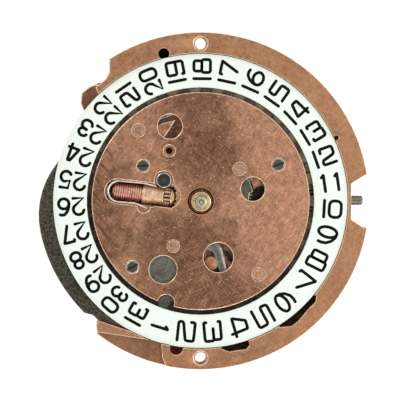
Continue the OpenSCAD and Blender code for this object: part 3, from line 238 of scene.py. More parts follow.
class Finish(Graph):
    """A material that is put together from patterns on the object's own coordinates."""

    def __init__(self, name, metallic, roughness, **inputs):
        self.material = bpy.data.materials.new(name)
        super().__init__(self.material)
        self.shader = self.nodes["Principled BSDF"].inputs
        self.last_normal = None
        for key, value in {"Metallic": metallic, "Roughness": roughness, **inputs}.items():
            self.feed(self.shader[key], value)

    def place(self, centre=ORIGIN, turn=0.0, stretch=(1, 1, 1)):
        """Coordinates in millimetres about a centre, turned, and divided by a stretch along each axis."""
        inputs = {"Vector": self.coordinates.outputs["Object"], "Location": [c * MM for c in centre],
                  "Rotation": (0, 0, math.radians(turn)), "Scale": [s * MM for s in stretch]}
        return self.node("Mapping", inputs, vector_type="TEXTURE")

    def noise(self, scale=1.0, detail=2.0, rough=0.5, bend=0.0, **place):
        inputs = {"Scale": scale, "Detail": detail, "Roughness": rough, "Distortion": bend}
        return self.node("TexNoise", {"Vector": self.place(**place), **inputs})

    def lines(self, value, scale, detail):
        """Noise along one value, for rings and ribs."""
        return self.node("TexNoise", {"W": value, "Scale": scale, "Detail": detail}, noise_dimensions="1D")

    def radius(self, centre=ORIGIN):
        """Distance from an upright axis."""
        flat = self.node("VectorMath", {0: self.place(centre), 1: (1, 1, 0)}, operation="MULTIPLY")
        return self.node("VectorMath", {0: flat}, "Value", operation="LENGTH")

    def part(self, axis, turn=0.0):
        return self.node("SeparateXYZ", {0: self.place(turn=turn)}, axis)

    def math(self, operation, a, b):
        return self.node("Math", {0: a, 1: b}, operation=operation)

    def fade(self, value, start, end, low=0.0, high=1.0):
        """Value brought from start..end to low..high, and held there outside."""
        inputs = {"Value": value, "From Min": start, "From Max": end, "To Min": low, "To Max": high}
        return self.node("MapRange", inputs)

    def vary(self, value, amount, reach=0.2):
        """A factor about 1 that follows a noise by an amount each way."""
        return self.fade(value, 0.5 - reach, 0.5 + reach, 1 - amount, 1 + amount)

    def mottle(self, scale, amount, detail=2.0, rough=0.6, centre=ORIGIN, bend=0.0):
        return self.vary(self.noise(scale, detail, rough, bend, centre=centre), amount, 0.16)

    def blend(self, factor, first, second):
        return self.node("Mix", {0: factor, 6: first, 7: second}, 2, data_type="RGBA")

    def lay(self, mask, share, tone, colour):
        """A tone with a share of a colour laid over it where the mask is set."""
        return self.blend(self.math("MULTIPLY", mask, share), tone, colour)

    def tinted(self, colour, *factors):
        """A colour scaled by patterns that are multiplied together."""
        product = factors[0]
        for factor in factors[1:]:
            product = self.math("MULTIPLY", product, factor)
        return self.node("VectorMath", {0: colour, "Scale": product}, operation="SCALE")

    def scratches(self, turn, width, length, amount):
        """Fine lines in one direction: 1 on a line and 0 beside it."""
        noise = self.noise(detail=0, centre=(0.37, 0.19, 0), turn=turn, stretch=(length, width * 3, 1))
        return self.fade(noise, 1 - amount, 1 - amount + 0.05)

    def hairlines(self, turns, width=0.022, length=2.6, amount=0.34):
        """Fine lines in several directions."""
        total = 0.0
        for count, turn in enumerate(turns):
            line = self.scratches(turn, width, length * (1 + 0.25 * (count % 3)), amount)
            total = self.math("ADD", total, line)
        return self.math("MINIMUM", total, 1.0)

    def bump(self, height, depth):
        """Relief with a depth in micrometres."""
        inputs = {"Strength": 1.0, "Distance": depth * 1e-6, "Height": height}
        if self.last_normal:
            inputs["Normal"] = self.last_normal
        self.last_normal = self.node("Bump", inputs)

    def done(self, tone, rough=None):
        """The material with its colour, its roughness and its relief."""
        for name, value in (("Base Color", tone), ("Roughness", rough), ("Normal", self.last_normal)):
            if value:
                self.links.new(value, self.shader[name])
        return self.material


def scaled(colour, factor):
    return tuple(min(1.0, c * factor) for c in colour[:3])


def plated_copper(name, base, clouds, grain, scratch, roughness):
    """Frosted copper plating with mottling, tarnish and hairlines."""
    mix = Finish(name, 1.0, roughness)
    cloud = mix.fade(mix.mottle(0.42, 1.0, 4, 0.6, (3, 1, 0), 0.6), 0.0, 2.0)
    dark = (base[0] * (1 - clouds), base[1] * (1 - clouds * 1.25), base[2] * (1 - clouds * 1.4))
    tone = mix.blend(cloud, scaled(base, 1 + clouds * 0.4), dark)
    speck = mix.noise(2.8, 3, 0.65)
    fine = mix.noise(8.5, 2, 0.7)
    tone = mix.tinted(tone, mix.vary(speck, grain, 0.16), mix.vary(fine, grain))
    rub = mix.hairlines((38, -24, 82, 128))
    tone = mix.lay(rub, scratch, tone, scaled(base, 1.45))
    mix.bump(fine, 3.0 * grain / 0.2)
    mix.bump(speck, 4.0)
    mix.bump(rub, -0.8)
    return mix.done(tone, mix.fade(speck, 0.3, 0.7, roughness - 0.06, roughness + 0.08))


def worn_guard(name, base, dark):
    """Guard plate: brushed copper with darker patches of tarnish and painted shade, grain with painted sparkle,
    and fine scratches.
    """
    mix = Finish(name, 1.0, 0.38)
    drift = mix.fade(mix.noise(0.4, 4, 0.62, bend=0.6), 0.3, 0.7, -1.7, 1.7)
    # The patches darken the plate as tarnish and as painted shade
    clear_of_tarnish_and_shade = 1.0
    for (x, y), reach, depth in TARNISH_AND_SHADE:
        distance = mix.math("ADD", mix.radius((x, y, 0)), drift)
        clear_of_tarnish_and_shade = mix.math("MULTIPLY", clear_of_tarnish_and_shade, mix.fade(distance, reach, reach * 0.3, 1.0, 1 - depth))
    tone = mix.blend(clear_of_tarnish_and_shade, dark, scaled(base, 1.08))
    speck = mix.noise(1.5, 3, 0.65)
    grain = mix.noise(4.4, 3, 0.7, centre=(1, 2, 3))
    fine = mix.noise(9.0, 1, 0.6)
    brush = mix.noise(1.0, 2, 0.6, turn=57, stretch=(1.3, 0.10, 1))
    cross = mix.noise(1.0, 2, 0.6, turn=-36, stretch=(1.1, 0.09, 1))
    tone = mix.tinted(tone, mix.vary(speck, 0.12, 0.16), mix.vary(grain, 0.2, 0.16),
                      mix.vary(fine, 0.16), mix.vary(brush, 0.27), mix.vary(cross, 0.1))
    # Painted glints: bright sparkles laid into the colour
    painted_sparkle = mix.fade(mix.noise(5.5, 1, 0.6, centre=(4, 4, 1)), 0.69, 0.74)
    tone = mix.lay(painted_sparkle, 0.7, tone, (1.0, 0.78, 0.6))
    # Bright scratches, denser towards the lower right
    rub = mix.hairlines((57, -38, 22, 74, -64, 150, 48), 0.02, 3.4, 0.31)
    rub = mix.math("MULTIPLY", rub, mix.fade(mix.part("X", -40), -6.0, 5.0, 0.35, 1.0))
    tone = mix.lay(rub, 0.5, tone, scaled(base, 1.6))
    # Dark straight streaks near the left edge
    streak = mix.math("MULTIPLY", mix.scratches(-50, 0.1, 2.2, 0.40),
                      mix.fade(mix.part("X"), -6.6, -8.4))
    tone = mix.lay(streak, 0.6, tone, scaled(dark, 0.5))
    mix.bump(brush, 3.0)
    mix.bump(grain, 5.0)
    mix.bump(speck, 4.0)
    return mix.done(tone, mix.fade(speck, 0.3, 0.7, 0.34, 0.46))


def bright_edge(name, base, roughness=0.3):
    """Painted highlight for cut edges, chamfers and rims: a bright colour that stands in for the light they
    catch, with small nicks.
    """
    mix = Finish(name, 1.0, roughness)
    nick = mix.fade(mix.noise(3.2, 3, 0.65), 0.36, 0.64, 0.62, 1.0)
    return mix.done(mix.tinted(base, nick, mix.mottle(9.0, 0.12, 1)),
                    mix.fade(nick, 0.62, 1.0, roughness + 0.15, roughness))


def tarnished_well(name, base, roughness=0.55, metallic=0.4):
    """Floor and walls below the plates: oxidised copper, set dark as painted shade in hollows, gaps and slots,
    with lighter worn spots and milling marks.
    """
    mix = Finish(name, metallic, roughness)
    ring = mix.lines(mix.radius(), 4.0, 2)
    tone = mix.tinted(base, mix.mottle(1.6, 0.5, 4, 0.65), mix.mottle(6.0, 0.35),
                      mix.vary(ring, 0.2))
    mix.bump(ring, 2.0)
    mix.bump(mix.noise(5.0, 3, 0.6), 5.0)
    return mix.done(tone, mix.mottle(3.0, 0.15, 2, 0.5, (1, 1, 1)))


def turned_metal(name, base, centre=ORIGIN, roughness=0.32, rings=7.0, depth=1.0, dark=0.7, metallic=1.0):
    """Metal faced on a lathe: fine rings about the piece's axis, and a few handling marks."""
    mix = Finish(name, metallic, roughness)
    ring = mix.lines(mix.radius(centre), rings, 3)
    stain = mix.fade(mix.noise(1.3, 4, 0.6, centre=centre), 0.4, 0.75)
    rub = mix.math("ADD", mix.scratches(27, 0.016, 1.4, 0.34), mix.scratches(-58, 0.016, 1.8, 0.34))
    rub = mix.math("MINIMUM", rub, 1.0)
    tone = mix.tinted(base, mix.fade(ring, 0.3, 0.7, 0.78, 1.16), mix.mottle(4.0, 0.16, 3, 0.65),
                      mix.fade(stain, 0, 1, 1.08, dark))
    mix.bump(ring, 1.4 * depth)
    mix.bump(rub, -0.8)
    return mix.done(mix.lay(rub, 0.5, tone, scaled(base, 1.5)),
                    mix.fade(stain, 0, 1, roughness, roughness + 0.14))


def grained_steel(name, base, turn, roughness=0.3, contrast=0.25):
    """Steel with a straight satin grain, spots of oil and hairlines."""
    mix = Finish(name, 1.0, roughness)
    grain = mix.noise(1.0, 3, 0.6, turn=turn, stretch=(4.0, 0.05, 0.6))
    stain = mix.fade(mix.noise(1.8, 4, 0.65), 0.42, 0.72)
    rub = mix.math("ADD", mix.scratches(turn + 31, 0.016, 1.1, 0.35),
                   mix.scratches(turn - 47, 0.016, 1.3, 0.35))
    rub = mix.math("MINIMUM", rub, 1.0)
    tone = mix.tinted(base, mix.vary(grain, contrast), mix.mottle(5.0, 0.14),
                      mix.fade(stain, 0, 1, 1.08, 0.62))
    mix.bump(grain, 1.2)
    mix.bump(rub, -0.8)
    return mix.done(mix.lay(rub, 0.5, tone, scaled(base, 1.9)),
                    mix.fade(grain, 0.3, 0.7, roughness - 0.04, roughness + 0.1))


def sintered_metal(name, base):
    """Dark sintered tungsten alloy: open grain with bright and dark specks and a turned face."""
    mix = Finish(name, 1.0, 0.5)
    grain = mix.noise(5.0, 4, 0.7)
    cells = mix.node("TexVoronoi", {"Vector": mix.place(), "Scale": 3.2}, "Distance")
    pores = mix.fade(cells, 0.12, 0.42)
    stain = mix.fade(mix.noise(0.5, 3, 0.6, centre=(5, 2, 1)), 0.4, 0.7)
    tone = mix.blend(mix.fade(grain, 0.40, 0.60), scaled(base, 0.25), scaled(base, 2.0))
    tone = mix.lay(stain, 0.4, tone, scaled(base, 1.5))
    tone = mix.blend(mix.fade(pores, 0, 1, 0.55, 0.0), tone, scaled(base, 0.35))
    mix.bump(grain, 12.0)
    mix.bump(mix.lines(mix.radius(), 5.0, 2), 1.5)
    return mix.done(tone, mix.fade(grain, 0.3, 0.7, 0.4, 0.62))


def oily_brass(name, base, metallic=1.0):
    """Dull bare brass in the gap round the guard plate, with painted shade that darkens it towards six o'clock.
    """
    mix = Finish(name, metallic, 0.36)
    # Painted shade: darker towards six o'clock
    painted_shade_towards_six = mix.fade(mix.part("Y", -20), -4.0, 8.0, 0.25, 1.1)
    mix.bump(mix.noise(6.0, 2, 0.6), 3.0)
    return mix.done(mix.tinted(base, painted_shade_towards_six, mix.mottle(1.6, 0.35, 3), mix.mottle(7.0, 0.15, 1)))


def ring_lacquer(name, base):
    """White lacquer with a faint orange-peel relief, dust, and slight yellowing and painted shade towards the
    edges.
    """
    mix = Finish(name, 0.0, 0.32, **{"Specular IOR Level": 0.4})
    tint = mix.fade(mix.noise(0.35, 3, 0.5, centre=(2, 7, 0)), 0.4, 0.7)
    dust = mix.fade(mix.noise(6.0, 1), 0.72, 0.78)
    edge = mix.radius()
    # Towards the edges: yellowing, and painted shade
    yellowed_and_shaded_edges = mix.math("ADD", mix.fade(edge, 12.35, 12.6), mix.fade(edge, 10.05, 9.9))
    tone = mix.lay(tint, 0.35, base, (base[0] * 0.93, base[1] * 0.94, base[2] * 0.86))
    tone = mix.lay(yellowed_and_shaded_edges, 0.3, tone, (base[0] * 0.8, base[1] * 0.79, base[2] * 0.7))
    mix.bump(mix.noise(2.6, 3, 0.55), 1.2)
    return mix.done(mix.lay(dust, 0.3, tone, scaled(base, 0.6)))


def printed_ink(name, base):
    """Matt dark ink with an uneven film."""
    mix = Finish(name, 0.0, 0.55, **{"Specular IOR Level": 0.12})
    film = mix.noise(7.0, 3, 0.6)
    mix.bump(film, 1.5)
    return mix.done(mix.blend(mix.fade(film, 0.3, 0.7), scaled(base, 0.7), scaled(base, 1.6)),
                    mix.fade(film, 0.3, 0.7, 0.42, 0.6))


def clear_ruby(name, base):
    """Polished synthetic ruby with a deep red body."""
    mix = Finish(name, 0.0, 0.06, **{"Coat Weight": 1.0, "Coat Roughness": 0.03})
    depth = mix.noise(2.4)
    mix.bump(depth, 0.4)
    return mix.done(mix.blend(mix.fade(depth, 0.3, 0.7), scaled(base, 0.75), scaled(base, 1.3)))


def recipes():
    """The values of each finish, under the function that makes it."""
    colours = bpy.context.scene.movement_colours
    copper, steel = tuple(colours.rim), tuple(colours.steel)
    return {
        plated_copper: {
            # step is the rim's copper darkened to 0.72 as painted shade on the lower step
            "rim": (copper, 0.16, 0.15, 0.4, 0.48), "step": (scaled(copper, 0.72), 0.2, 0.2, 0.4, 0.5),
            "bridge": (copper, 0.16, 0.12, 0.35, 0.4), "cock": (scaled(copper, 0.8), 0.2, 0.2, 0.35, 0.42),
            "stud": ((0.62, 0.34, 0.22), 0.2, 0.25, 0.6, 0.36),
            # ledge is the rim's copper lightened to 1.15 as painted light on floors below the guard plate
            "ledge": (scaled(copper, 1.15), 0.3, 0.25, 0.4, 0.42),
            "coil": ((0.62, 0.35, 0.26), 0.2, 0.25, 0.3, 0.42)},
        worn_guard: {"guard": (tuple(colours.guard), tuple(colours.cloud))},
        bright_edge: {
            # Painted highlights: bright colours for plate chamfers, rivet heads, the rims of pipes and of the
            # plunger, steel chamfers and the crescent on screw heads
            "edge": ((0.88, 0.64, 0.47),), "rivet": ((1.0, 0.70, 0.48), 0.26),
            "gilt": ((1.0, 0.80, 0.52), 0.22), "glint": ((0.60, 0.59, 0.52), 0.22),
            "screw_edge": ((0.36, 0.35, 0.30), 0.24)},
        tarnished_well: {
            # deep, pit and slot are dark copies painted as shade in hollows, holes and slots; well is the copper
            # of the floors, and rust a real stain
            "well": ((0.42, 0.225, 0.145),), "rust": ((0.55, 0.17, 0.09),), "deep": ((0.16, 0.075, 0.040),),
            "pit": ((0.022, 0.015, 0.010), 0.6, 0.7), "slot": ((0.035, 0.032, 0.024),)},
        grained_steel: {
            "steel": (steel, 20), "dark_steel": (scaled(steel, 0.6), 60, 0.34),
            # The darkest steel, at 0.12 of the steel colour, is painted shade on parts deep in the windows
            "black_steel": (scaled(steel, 0.12), 15, 0.4), "polished": (scaled(steel, 1.9), 10, 0.2, 0.12),
            "spring": ((0.92, 0.83, 0.66), 6, 0.22, 0.12)},
        turned_metal: {
            "screw": ((0.16, 0.155, 0.115), ORIGIN, 0.3, 12, 1.0, 0.6),
            "stud_face": ((0.085, 0.09, 0.07), (*STUD_AT, 0), 0.24, 14, 9.0, 0.75),
            "cannon": ((0.66, 0.64, 0.46), ORIGIN, 0.32, 16),
            "plunger": ((0.66, 0.43, 0.26), PLUNGER_MIDDLE, 0.42, 7, 1, 0.7, 0.55),
            "plunger_end": ((0.78, 0.60, 0.22), PLUNGER_MIDDLE)},
        # gap is a dark copy painted as shade in the narrow gap round the guard plate
        oily_brass: {"flange": ((0.25, 0.18, 0.12),), "gap": ((0.12, 0.08, 0.055), 0.6)},
        sintered_metal: {"weight": (tuple(colours.weight),)},
        ring_lacquer: {"lacquer": (tuple(colours.lacquer),)},
        printed_ink: {"ink": (tuple(colours.ink),)},
        clear_ruby: {"ruby": (tuple(colours.ruby),)},
    }


finishes = {}


def coat(data, names):
    """Gives a mesh its finishes. Each material is made when it is first asked for."""
    for name in names:
        if name not in finishes:
            make, rows = next((make, rows) for make, rows in recipes().items() if name in rows)
            finishes[name] = make(make.__name__ + "_" + name, *rows[name])
        data.materials.append(finishes[name])


def turned_brass(node):
    """Adds the brass finish of a wheel about its axis, and gives the name of that finish."""
    name = "brass_" + node
    finishes[name] = turned_metal(name, tuple(bpy.context.scene.movement_colours.brass), axis_of(node))
    return name


def merged(node):
    """A merged copy of a solid's mesh, with its flat faces joined."""
    mesh = bmesh.new()
    mesh.from_mesh(frame["nodes"][node].data)
    bmesh.ops.remove_doubles(mesh, verts=mesh.verts, dist=2e-7)
    bmesh.ops.dissolve_limit(mesh, angle_limit=math.radians(0.4), use_dissolve_boundaries=False,
                             verts=mesh.verts, edges=mesh.edges)
    mesh.normal_update()
    for face in mesh.faces:
        face.material_index = 0
    return mesh


def bevel(mesh, edges, width, steps=1, clamp=False):
    return bmesh.ops.bevel(mesh, geom=edges, offset=width * MM, offset_type="OFFSET", segments=steps,
                           profile=0.5, affect="EDGES", clamp_overlap=clamp, material=-1)


def bevel_edges(mesh, width, levels=(), steps=1, where=None, slot=0, drop=None):
    """Bevels the outer hard edges, all of them or those at the given heights, into a material slot.

    A drop makes the bevel of a top edge that deep, in place of its width."""
    def is_meant(edge):
        if len(edge.link_faces) != 2 or not edge.is_convex or edge.calc_face_angle(0) < math.radians(HARD):
            return False
        first, second = (v.co / MM for v in edge.verts)
        if levels and not any(max(abs(first.z - z), abs(second.z - z)) < SAME_HEIGHT for z in levels):
            return False
        return not where or where((first + second) / 2)

    chosen = [edge for edge in mesh.edges if is_meant(edge)]
    if not chosen:
        return
    made = bevel(mesh, chosen, width, steps)
    for face in made["faces"]:
        face.material_index = slot
    if drop is not None:
        for vert in made["verts"]:
            if abs(vert.co.z / MM - levels[0] + width) < SAME_HEIGHT:
                vert.co.z = (levels[0] - drop) * MM


def linked(name, data):
    """A new object in the scene."""
    made = bpy.data.objects.new(name, data)
    bpy.context.scene.collection.objects.link(made)
    return made


def as_object(mesh, name):
    """An object from a mesh in metres."""
    data = bpy.data.meshes.new(name)
    mesh.to_mesh(data)
    mesh.free()
    return linked(name, data)


SLOT_OF = {row["node"]: row["material_slot"] for row in frame["record"]["subparts"]}


def as_piece(mesh, name, names, node=None, body="plate", slot="copper_plate", sharp=SHARP):
    """Makes a piece from a mesh and lets it ride on a body: the body of the node that it replaces, if any."""
    mesh.normal_update()
    for face in mesh.faces:
        face.smooth = True
    for edge in mesh.edges:
        edge.smooth = len(edge.link_faces) == 2 and edge.calc_face_angle(0) < math.radians(sharp)
    piece = as_object(mesh, name)
    coat(piece.data, names)
    if node:
        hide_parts(node)
        body, slot = body_of(node), SLOT_OF[node]
    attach(piece, body)
    return piece


def edged(node, width, names, levels=None, steps=1, where=None, slot=0, drop=None):
    """Replaces a solid by a copy of it with bevelled edges, those of its top if no levels are given."""
    mesh = merged(node)
    bevel_edges(mesh, width, (level(node),) if levels is None else levels, steps, where, slot, drop)
    return as_piece(mesh, node + "_piece", names, node, sharp=SHARP if drop is None else SHARP_ON_FLATS)


def finish_by(piece, choose):
    """Sets the slot of each face that is in the first one, from its middle in millimetres and its normal."""
    for face in piece.data.polygons:
        if face.material_index == 0:
            face.material_index = choose(face.center / MM, face.normal)


def dress(name, *nodes):
    """Gives solids that stay their finish."""
    for node in nodes:
        data = frame["nodes"][node].data
        data.materials.clear()
        coat(data, (name,))


def dress_wheels(*nodes):
    """Gives wheels that stay a brass that is turned about their own axis."""
    for node in nodes:
        dress(turned_brass(node), node)


def near(place, spot, reach):
    """Whether a place lies within a distance of a spot, seen from above."""
    return math.hypot(place[0] - spot[0], place[1] - spot[1]) < reach


def spin(mesh, profile, place, turn, steps, angle=math.tau):
    """Spins a profile of [radius, height] about a turned axis: a full turn, or part of one and closed."""
    full = angle == math.tau
    points = [mesh.verts.new((place + turn @ Vector((r, 0, z))) * MM) for r, z in profile]
    ends = points[1:] if full else points[1:] + points[:1]
    edges = [mesh.edges.new(pair) for pair in zip(points, ends)]
    bmesh.ops.spin(mesh, geom=points + edges, cent=place * MM, axis=turn @ UP, angle=angle, steps=steps,
                   use_merge=full)


def lathe(profile, steps, centre=ORIGIN, axis=UP, mesh=None):
    """A mesh with a profile of [radius, height] spun about an axis through the centre."""
    mesh = mesh or bmesh.new()
    spin(mesh, profile, Vector(centre), UP.rotation_difference(Vector(axis)).to_matrix(), steps)
    bmesh.ops.remove_doubles(mesh, verts=mesh.verts, dist=1e-7)
    bmesh.ops.recalc_face_normals(mesh, faces=mesh.faces)
    return mesh


def sweep(name, lines, radius, sides, flat=1.0, height=0.0):
    """A mesh of round strokes along lines of [x, y, z, thickness], flattened in z about a height."""
    data = bpy.data.curves.new(name, "CURVE")
    data.dimensions = "3D"
    data.bevel_depth = radius * MM
    data.bevel_resolution = sides
    data.use_fill_caps = True
    for points, closed in lines:
        spline = data.splines.new("POLY")
        spline.points.add(len(points) - 1)
        for point, (x, y, z, thick) in zip(spline.points, points):
            point.co = (x * MM, y * MM, z * MM, 1)
            point.radius = thick
        spline.use_cyclic_u = closed
    holder = linked(name, data)
    bpy.context.view_layer.update()
    made = bpy.data.meshes.new_from_object(holder.evaluated_get(bpy.context.evaluated_depsgraph_get()))
    bpy.data.objects.remove(holder)
    mesh = bmesh.new()
    mesh.from_mesh(made)
    bpy.data.meshes.remove(made)
    bmesh.ops.scale(mesh, vec=(1, 1, flat), space=Matrix.Translation((0, 0, -height * MM)), verts=mesh.verts)
    bmesh.ops.recalc_face_normals(mesh, faces=mesh.faces)
    return mesh


CORNER_STEPS = 5


def curve_points(points, radius, closed=False):
    """Points of a line with its corners rounded."""
    count = len(points)
    made = []
    for i, point in enumerate(points):
        here = Vector(point)
        if not closed and i in (0, count - 1):
            made.append(here)
            continue
        back, on = Vector(points[i - 1]) - here, Vector(points[(i + 1) % count]) - here
        reach = min(radius, back.length * 0.5, on.length * 0.5)
        start, end = here + back.normalized() * reach, here + on.normalized() * reach
        for step in range(CORNER_STEPS + 1):
            t = step / CORNER_STEPS
            made.append(start * (1 - t) ** 2 + here * 2 * t * (1 - t) + end * t ** 2)
    return made


def oval(cx, cy, rx, ry, start=0.0, end=360.0, steps=24):
    angles = [math.radians(start + (end - start) * i / steps) for i in range(steps + 1)]
    return [(cx + rx * math.cos(angle), cy + ry * math.sin(angle)) for angle in angles]


def box_loop(x0, y0, x1, y1):
    return [(x0, y0), (x1, y0), (x1, y1), (x0, y1)]


SIX = [(oval(0.5, 0.31, 0.5, 0.31)[:-1], 0, True),
       ([(0.88, 0.96), (0.7, 1.0), (0.45, 0.97), (0.18, 0.78), (0.03, 0.52), (0.0, 0.31)], 0.08)]
# Strokes of each digit in a box of one by one, as (points, corner) and True if closed. The forms with an r
# are the round ones of the dates from 22 on, and f is the one with a flag.
GLYPHS = {
    "0": [(box_loop(0, 0, 1, 1), 0.46, True)],
    "1": [([(0.5, 0), (0.5, 1)], 0)],
    "f": [([(0.5, 0), (0.5, 1), (0.0, 0.86)], 0.03)],
    "2": [([(0, 0.76), (0, 1), (1, 1), (1, 0.5), (0, 0.28), (0, 0), (1, 0)], 0.2)],
    "2r": [(oval(0.5, 0.68, 0.5, 0.32, 170, -40, 14) + [(0.04, 0.0), (1, 0)], 0)],
    "3": [([(0, 0.88), (0, 1), (0.95, 1), (0.95, 0.54), (0.35, 0.54)], 0.2),
          ([(0.35, 0.54), (1, 0.54), (1, 0), (0, 0), (0, 0.14)], 0.2)],
    "3r": [([*oval(0.47, 0.77, 0.43, 0.23, 165, -90, 14), (0.3, 0.55)], 0),
           ([(0.3, 0.555), *oval(0.47, 0.28, 0.5, 0.28, 90, -165, 16)], 0)],
    "4": [([(1, 0.22), (0, 0.22), (0.3, 1), (0.74, 1), (0.82, 0)], 0.09)],
    "4r": [([(1, 0.22), (0, 0.22), (0.52, 1), (0.76, 1), (0.78, 0)], 0.06)],
    "5": [([(1, 1), (0.03, 1), (0.0, 0.56), (1, 0.56), (1, 0), (0, 0)], 0.22)],
    "5r": [([(0.94, 1), (0.16, 1), (0.06, 0.54)] + oval(0.48, 0.32, 0.5, 0.32, 110, -150, 16)[2:], 0)],
    "6": SIX,
    "7": [([(0, 0.9), (0.02, 1), (1, 1), (0.4, 0)], 0.04)],
    "8": [(box_loop(0.1, 0.52, 0.9, 1), 0.22, True), (box_loop(0, 0, 1, 0.52), 0.22, True)],
    "8r": [(oval(0.5, 0.76, 0.42, 0.24)[:-1], 0, True), (oval(0.5, 0.27, 0.5, 0.27)[:-1], 0, True)],
    "9": [([(0, 0.1), (0, 0), (1, 0), (1, 1), (0, 1), (0, 0.44), (0.98, 0.44)], 0.2)],
    "9r": [([(1 - x, 1 - y) for x, y in points], *rest) for points, *rest in SIX],
}
# Dates whose digits stand at their own radii
ODD_DATES = {
    1: [("f", 11.32, 11.72)],
    10: [("1", 10.55, 10.95), ("0", 11.2, 12.24)],
    11: [("f", 10.66, 11.06), ("f", 11.84, 12.24)],
    20: [("2r", 10.22, 11.08), ("0", 11.46, 12.28)],
    21: [("2", 10.36, 11.4), ("1", 11.72, 12.12)],
    30: [("3r", 10.3, 11.12), ("0", 11.52, 12.38)],
    31: [("3", 10.5, 11.42), ("1", 11.8, 12.2)],
}
# Heading in degrees of the date that stands at twelve o'clock, and that date
TOP_HEADING = 89.5
TOP_DATE = 18
DATES = 31


def layout(date):
    """Digits of a date as (glyph, inner radius, outer radius)."""
    if date in ODD_DATES:
        return ODD_DATES[date]
    last = str(date)[-1]
    if date < 10:
        return [("9r" if last == "9" else last, 10.56, 12.2)]
    if date < 20:
        return [("1", 10.42, 10.82), (last, 11.16, 12.28)]
    return [("2r", 10.14, 11.06), (last + "r" if last + "r" in GLYPHS else last, 11.42, 12.32)]


def numeral_lines(sizes):
    """Lines of all the dates on the ring."""
    lines = []
    for date in range(1, DATES + 1):
        turn = math.radians(TOP_HEADING + (date - TOP_DATE) * 360 / DATES)
        out = Vector((math.cos(turn), math.sin(turn)))
        up = Vector((-math.sin(turn), math.cos(turn)))
        for glyph, inner, outer in layout(date):
            for points, corner, *closed in GLYPHS[glyph]:
                real = [(inner + x * (outer - inner), (y - 0.5) * sizes.height - 0.02) for x, y in points]
                real = curve_points(real, corner, bool(closed)) if corner else [Vector(p) for p in real]
                row = [(p.x, p.y, 1.0) for p in real]
                if not closed:
                    row = rounded_ends(row, sizes.stroke / 2)
                places = [(out * along + up * across, thick) for along, across, thick in row]
                lines.append(([(place.x, place.y, RING_TOP, thick) for place, thick in places], bool(closed)))
    return lines


def rounded_ends(row, radius):
    """Adds a rounded tip to both ends of a stroke."""
    def tip(end, inner):
        direction = (Vector(end[:2]) - Vector(inner[:2])).normalized()
        made = []
        for far in (0.35, 0.65, 0.85, 0.97):
            place = Vector(end[:2]) + direction * radius * far
            made.append((place.x, place.y, math.sqrt(1 - far * far)))
        return made
    return tip(row[0], row[1])[::-1] + row + tip(row[-1], row[-2])


class MOVEMENT_OT_stage(bpy.types.Operator):
    """Sets the pale floor, the soft lights and the camera"""
    bl_idname = "movement.stage"
    bl_label = "Stage"

    # Where the view is aimed, in millimetres, and the lights as (place, size, power) in metres and watts
    AIM = (-0.069, 0.113, 0)
    LIGHTS = {"key_light": ((0.065, -0.012, 0.095), 0.05, 0.020),
              "left_light": ((-0.10, 0.09, 0.09), 0.06, 0.022),
              "low_light": ((0.03, -0.16, 0.08), 0.08, 0.03)}

    def execute(self, context):
        scene = context.scene
        studio = scene.movement_studio
        scene.view_settings.view_transform = "Standard"
        self.light_room(scene)

        mesh = bmesh.new()
        bmesh.ops.create_grid(mesh, x_segments=1, y_segments=1, size=1.5,
                              matrix=Matrix.Translation((0, 0, (LOWEST - 0.01) * MM)))
        floor = as_object(mesh, "floor")
        paper = Finish("pale_floor", 0.0, 0.6, **{"Emission Color": (1, 1, 1), "Emission Strength": 0.5})
        tooth = paper.fade(paper.noise(0.4, 3, 0.6), 0.3, 0.7)
        floor.data.materials.append(paper.done(paper.blend(tooth, (0.9, 0.9, 0.9), (0.94, 0.94, 0.94))))

        target = Vector(self.AIM) * MM
        for name, (place, extent, power) in self.LIGHTS.items():
            light = bpy.data.lights.new(name, "AREA")
            light.size = extent
            light.energy = power
            holder = linked(name, light)
            holder.location = place
            holder.rotation_euler = (Vector(place) - target).to_track_quat("Z", "Y").to_euler()
            holder.visible_camera = False

        camera = bpy.data.cameras.new("camera")
        camera.sensor_width = 36
        camera.lens = 36 * studio.distance / studio.field
        camera.clip_start = 0.005
        camera.clip_end = 5
        holder = linked("camera", camera)
        lean, diagonal = studio.lean, math.sqrt(0.5)
        back = Vector((-math.sin(lean) * diagonal, math.sin(lean) * diagonal, math.cos(lean)))
        up = (Vector((0, 1, 0)) - back * back.y).normalized()
        turn = Matrix((up.cross(back), up, back)).transposed().to_4x4()
        holder.matrix_world = Matrix.Translation(target + back * studio.distance) @ turn
        scene.camera = holder
        return {"FINISHED"}

    def light_room(self, scene):
        """Bright walls and a dimmer ceiling, which the flat metal mirrors."""
        scene.world = bpy.data.worlds.new("studio")
        room = Graph(scene.world)
        height = room.node("SeparateXYZ", {0: room.coordinates.outputs["Generated"]}, 2)
        shade = room.node("ValToRGB", {0: height})
        stops = shade.node.color_ramp.elements
        stops[0].color = (1.0, 1.0, 1.0, 1)
        stops[1].color = (0.30, 0.30, 0.305, 1)
        stops.new(0.72).color = (1.0, 1.0, 1.0, 1)
        stops.new(0.93).color = (0.33, 0.33, 0.335, 1)
        background = room.nodes["Background"].inputs
        room.feed(background["Color"], shade)
        room.feed(background["Strength"], 1.2)


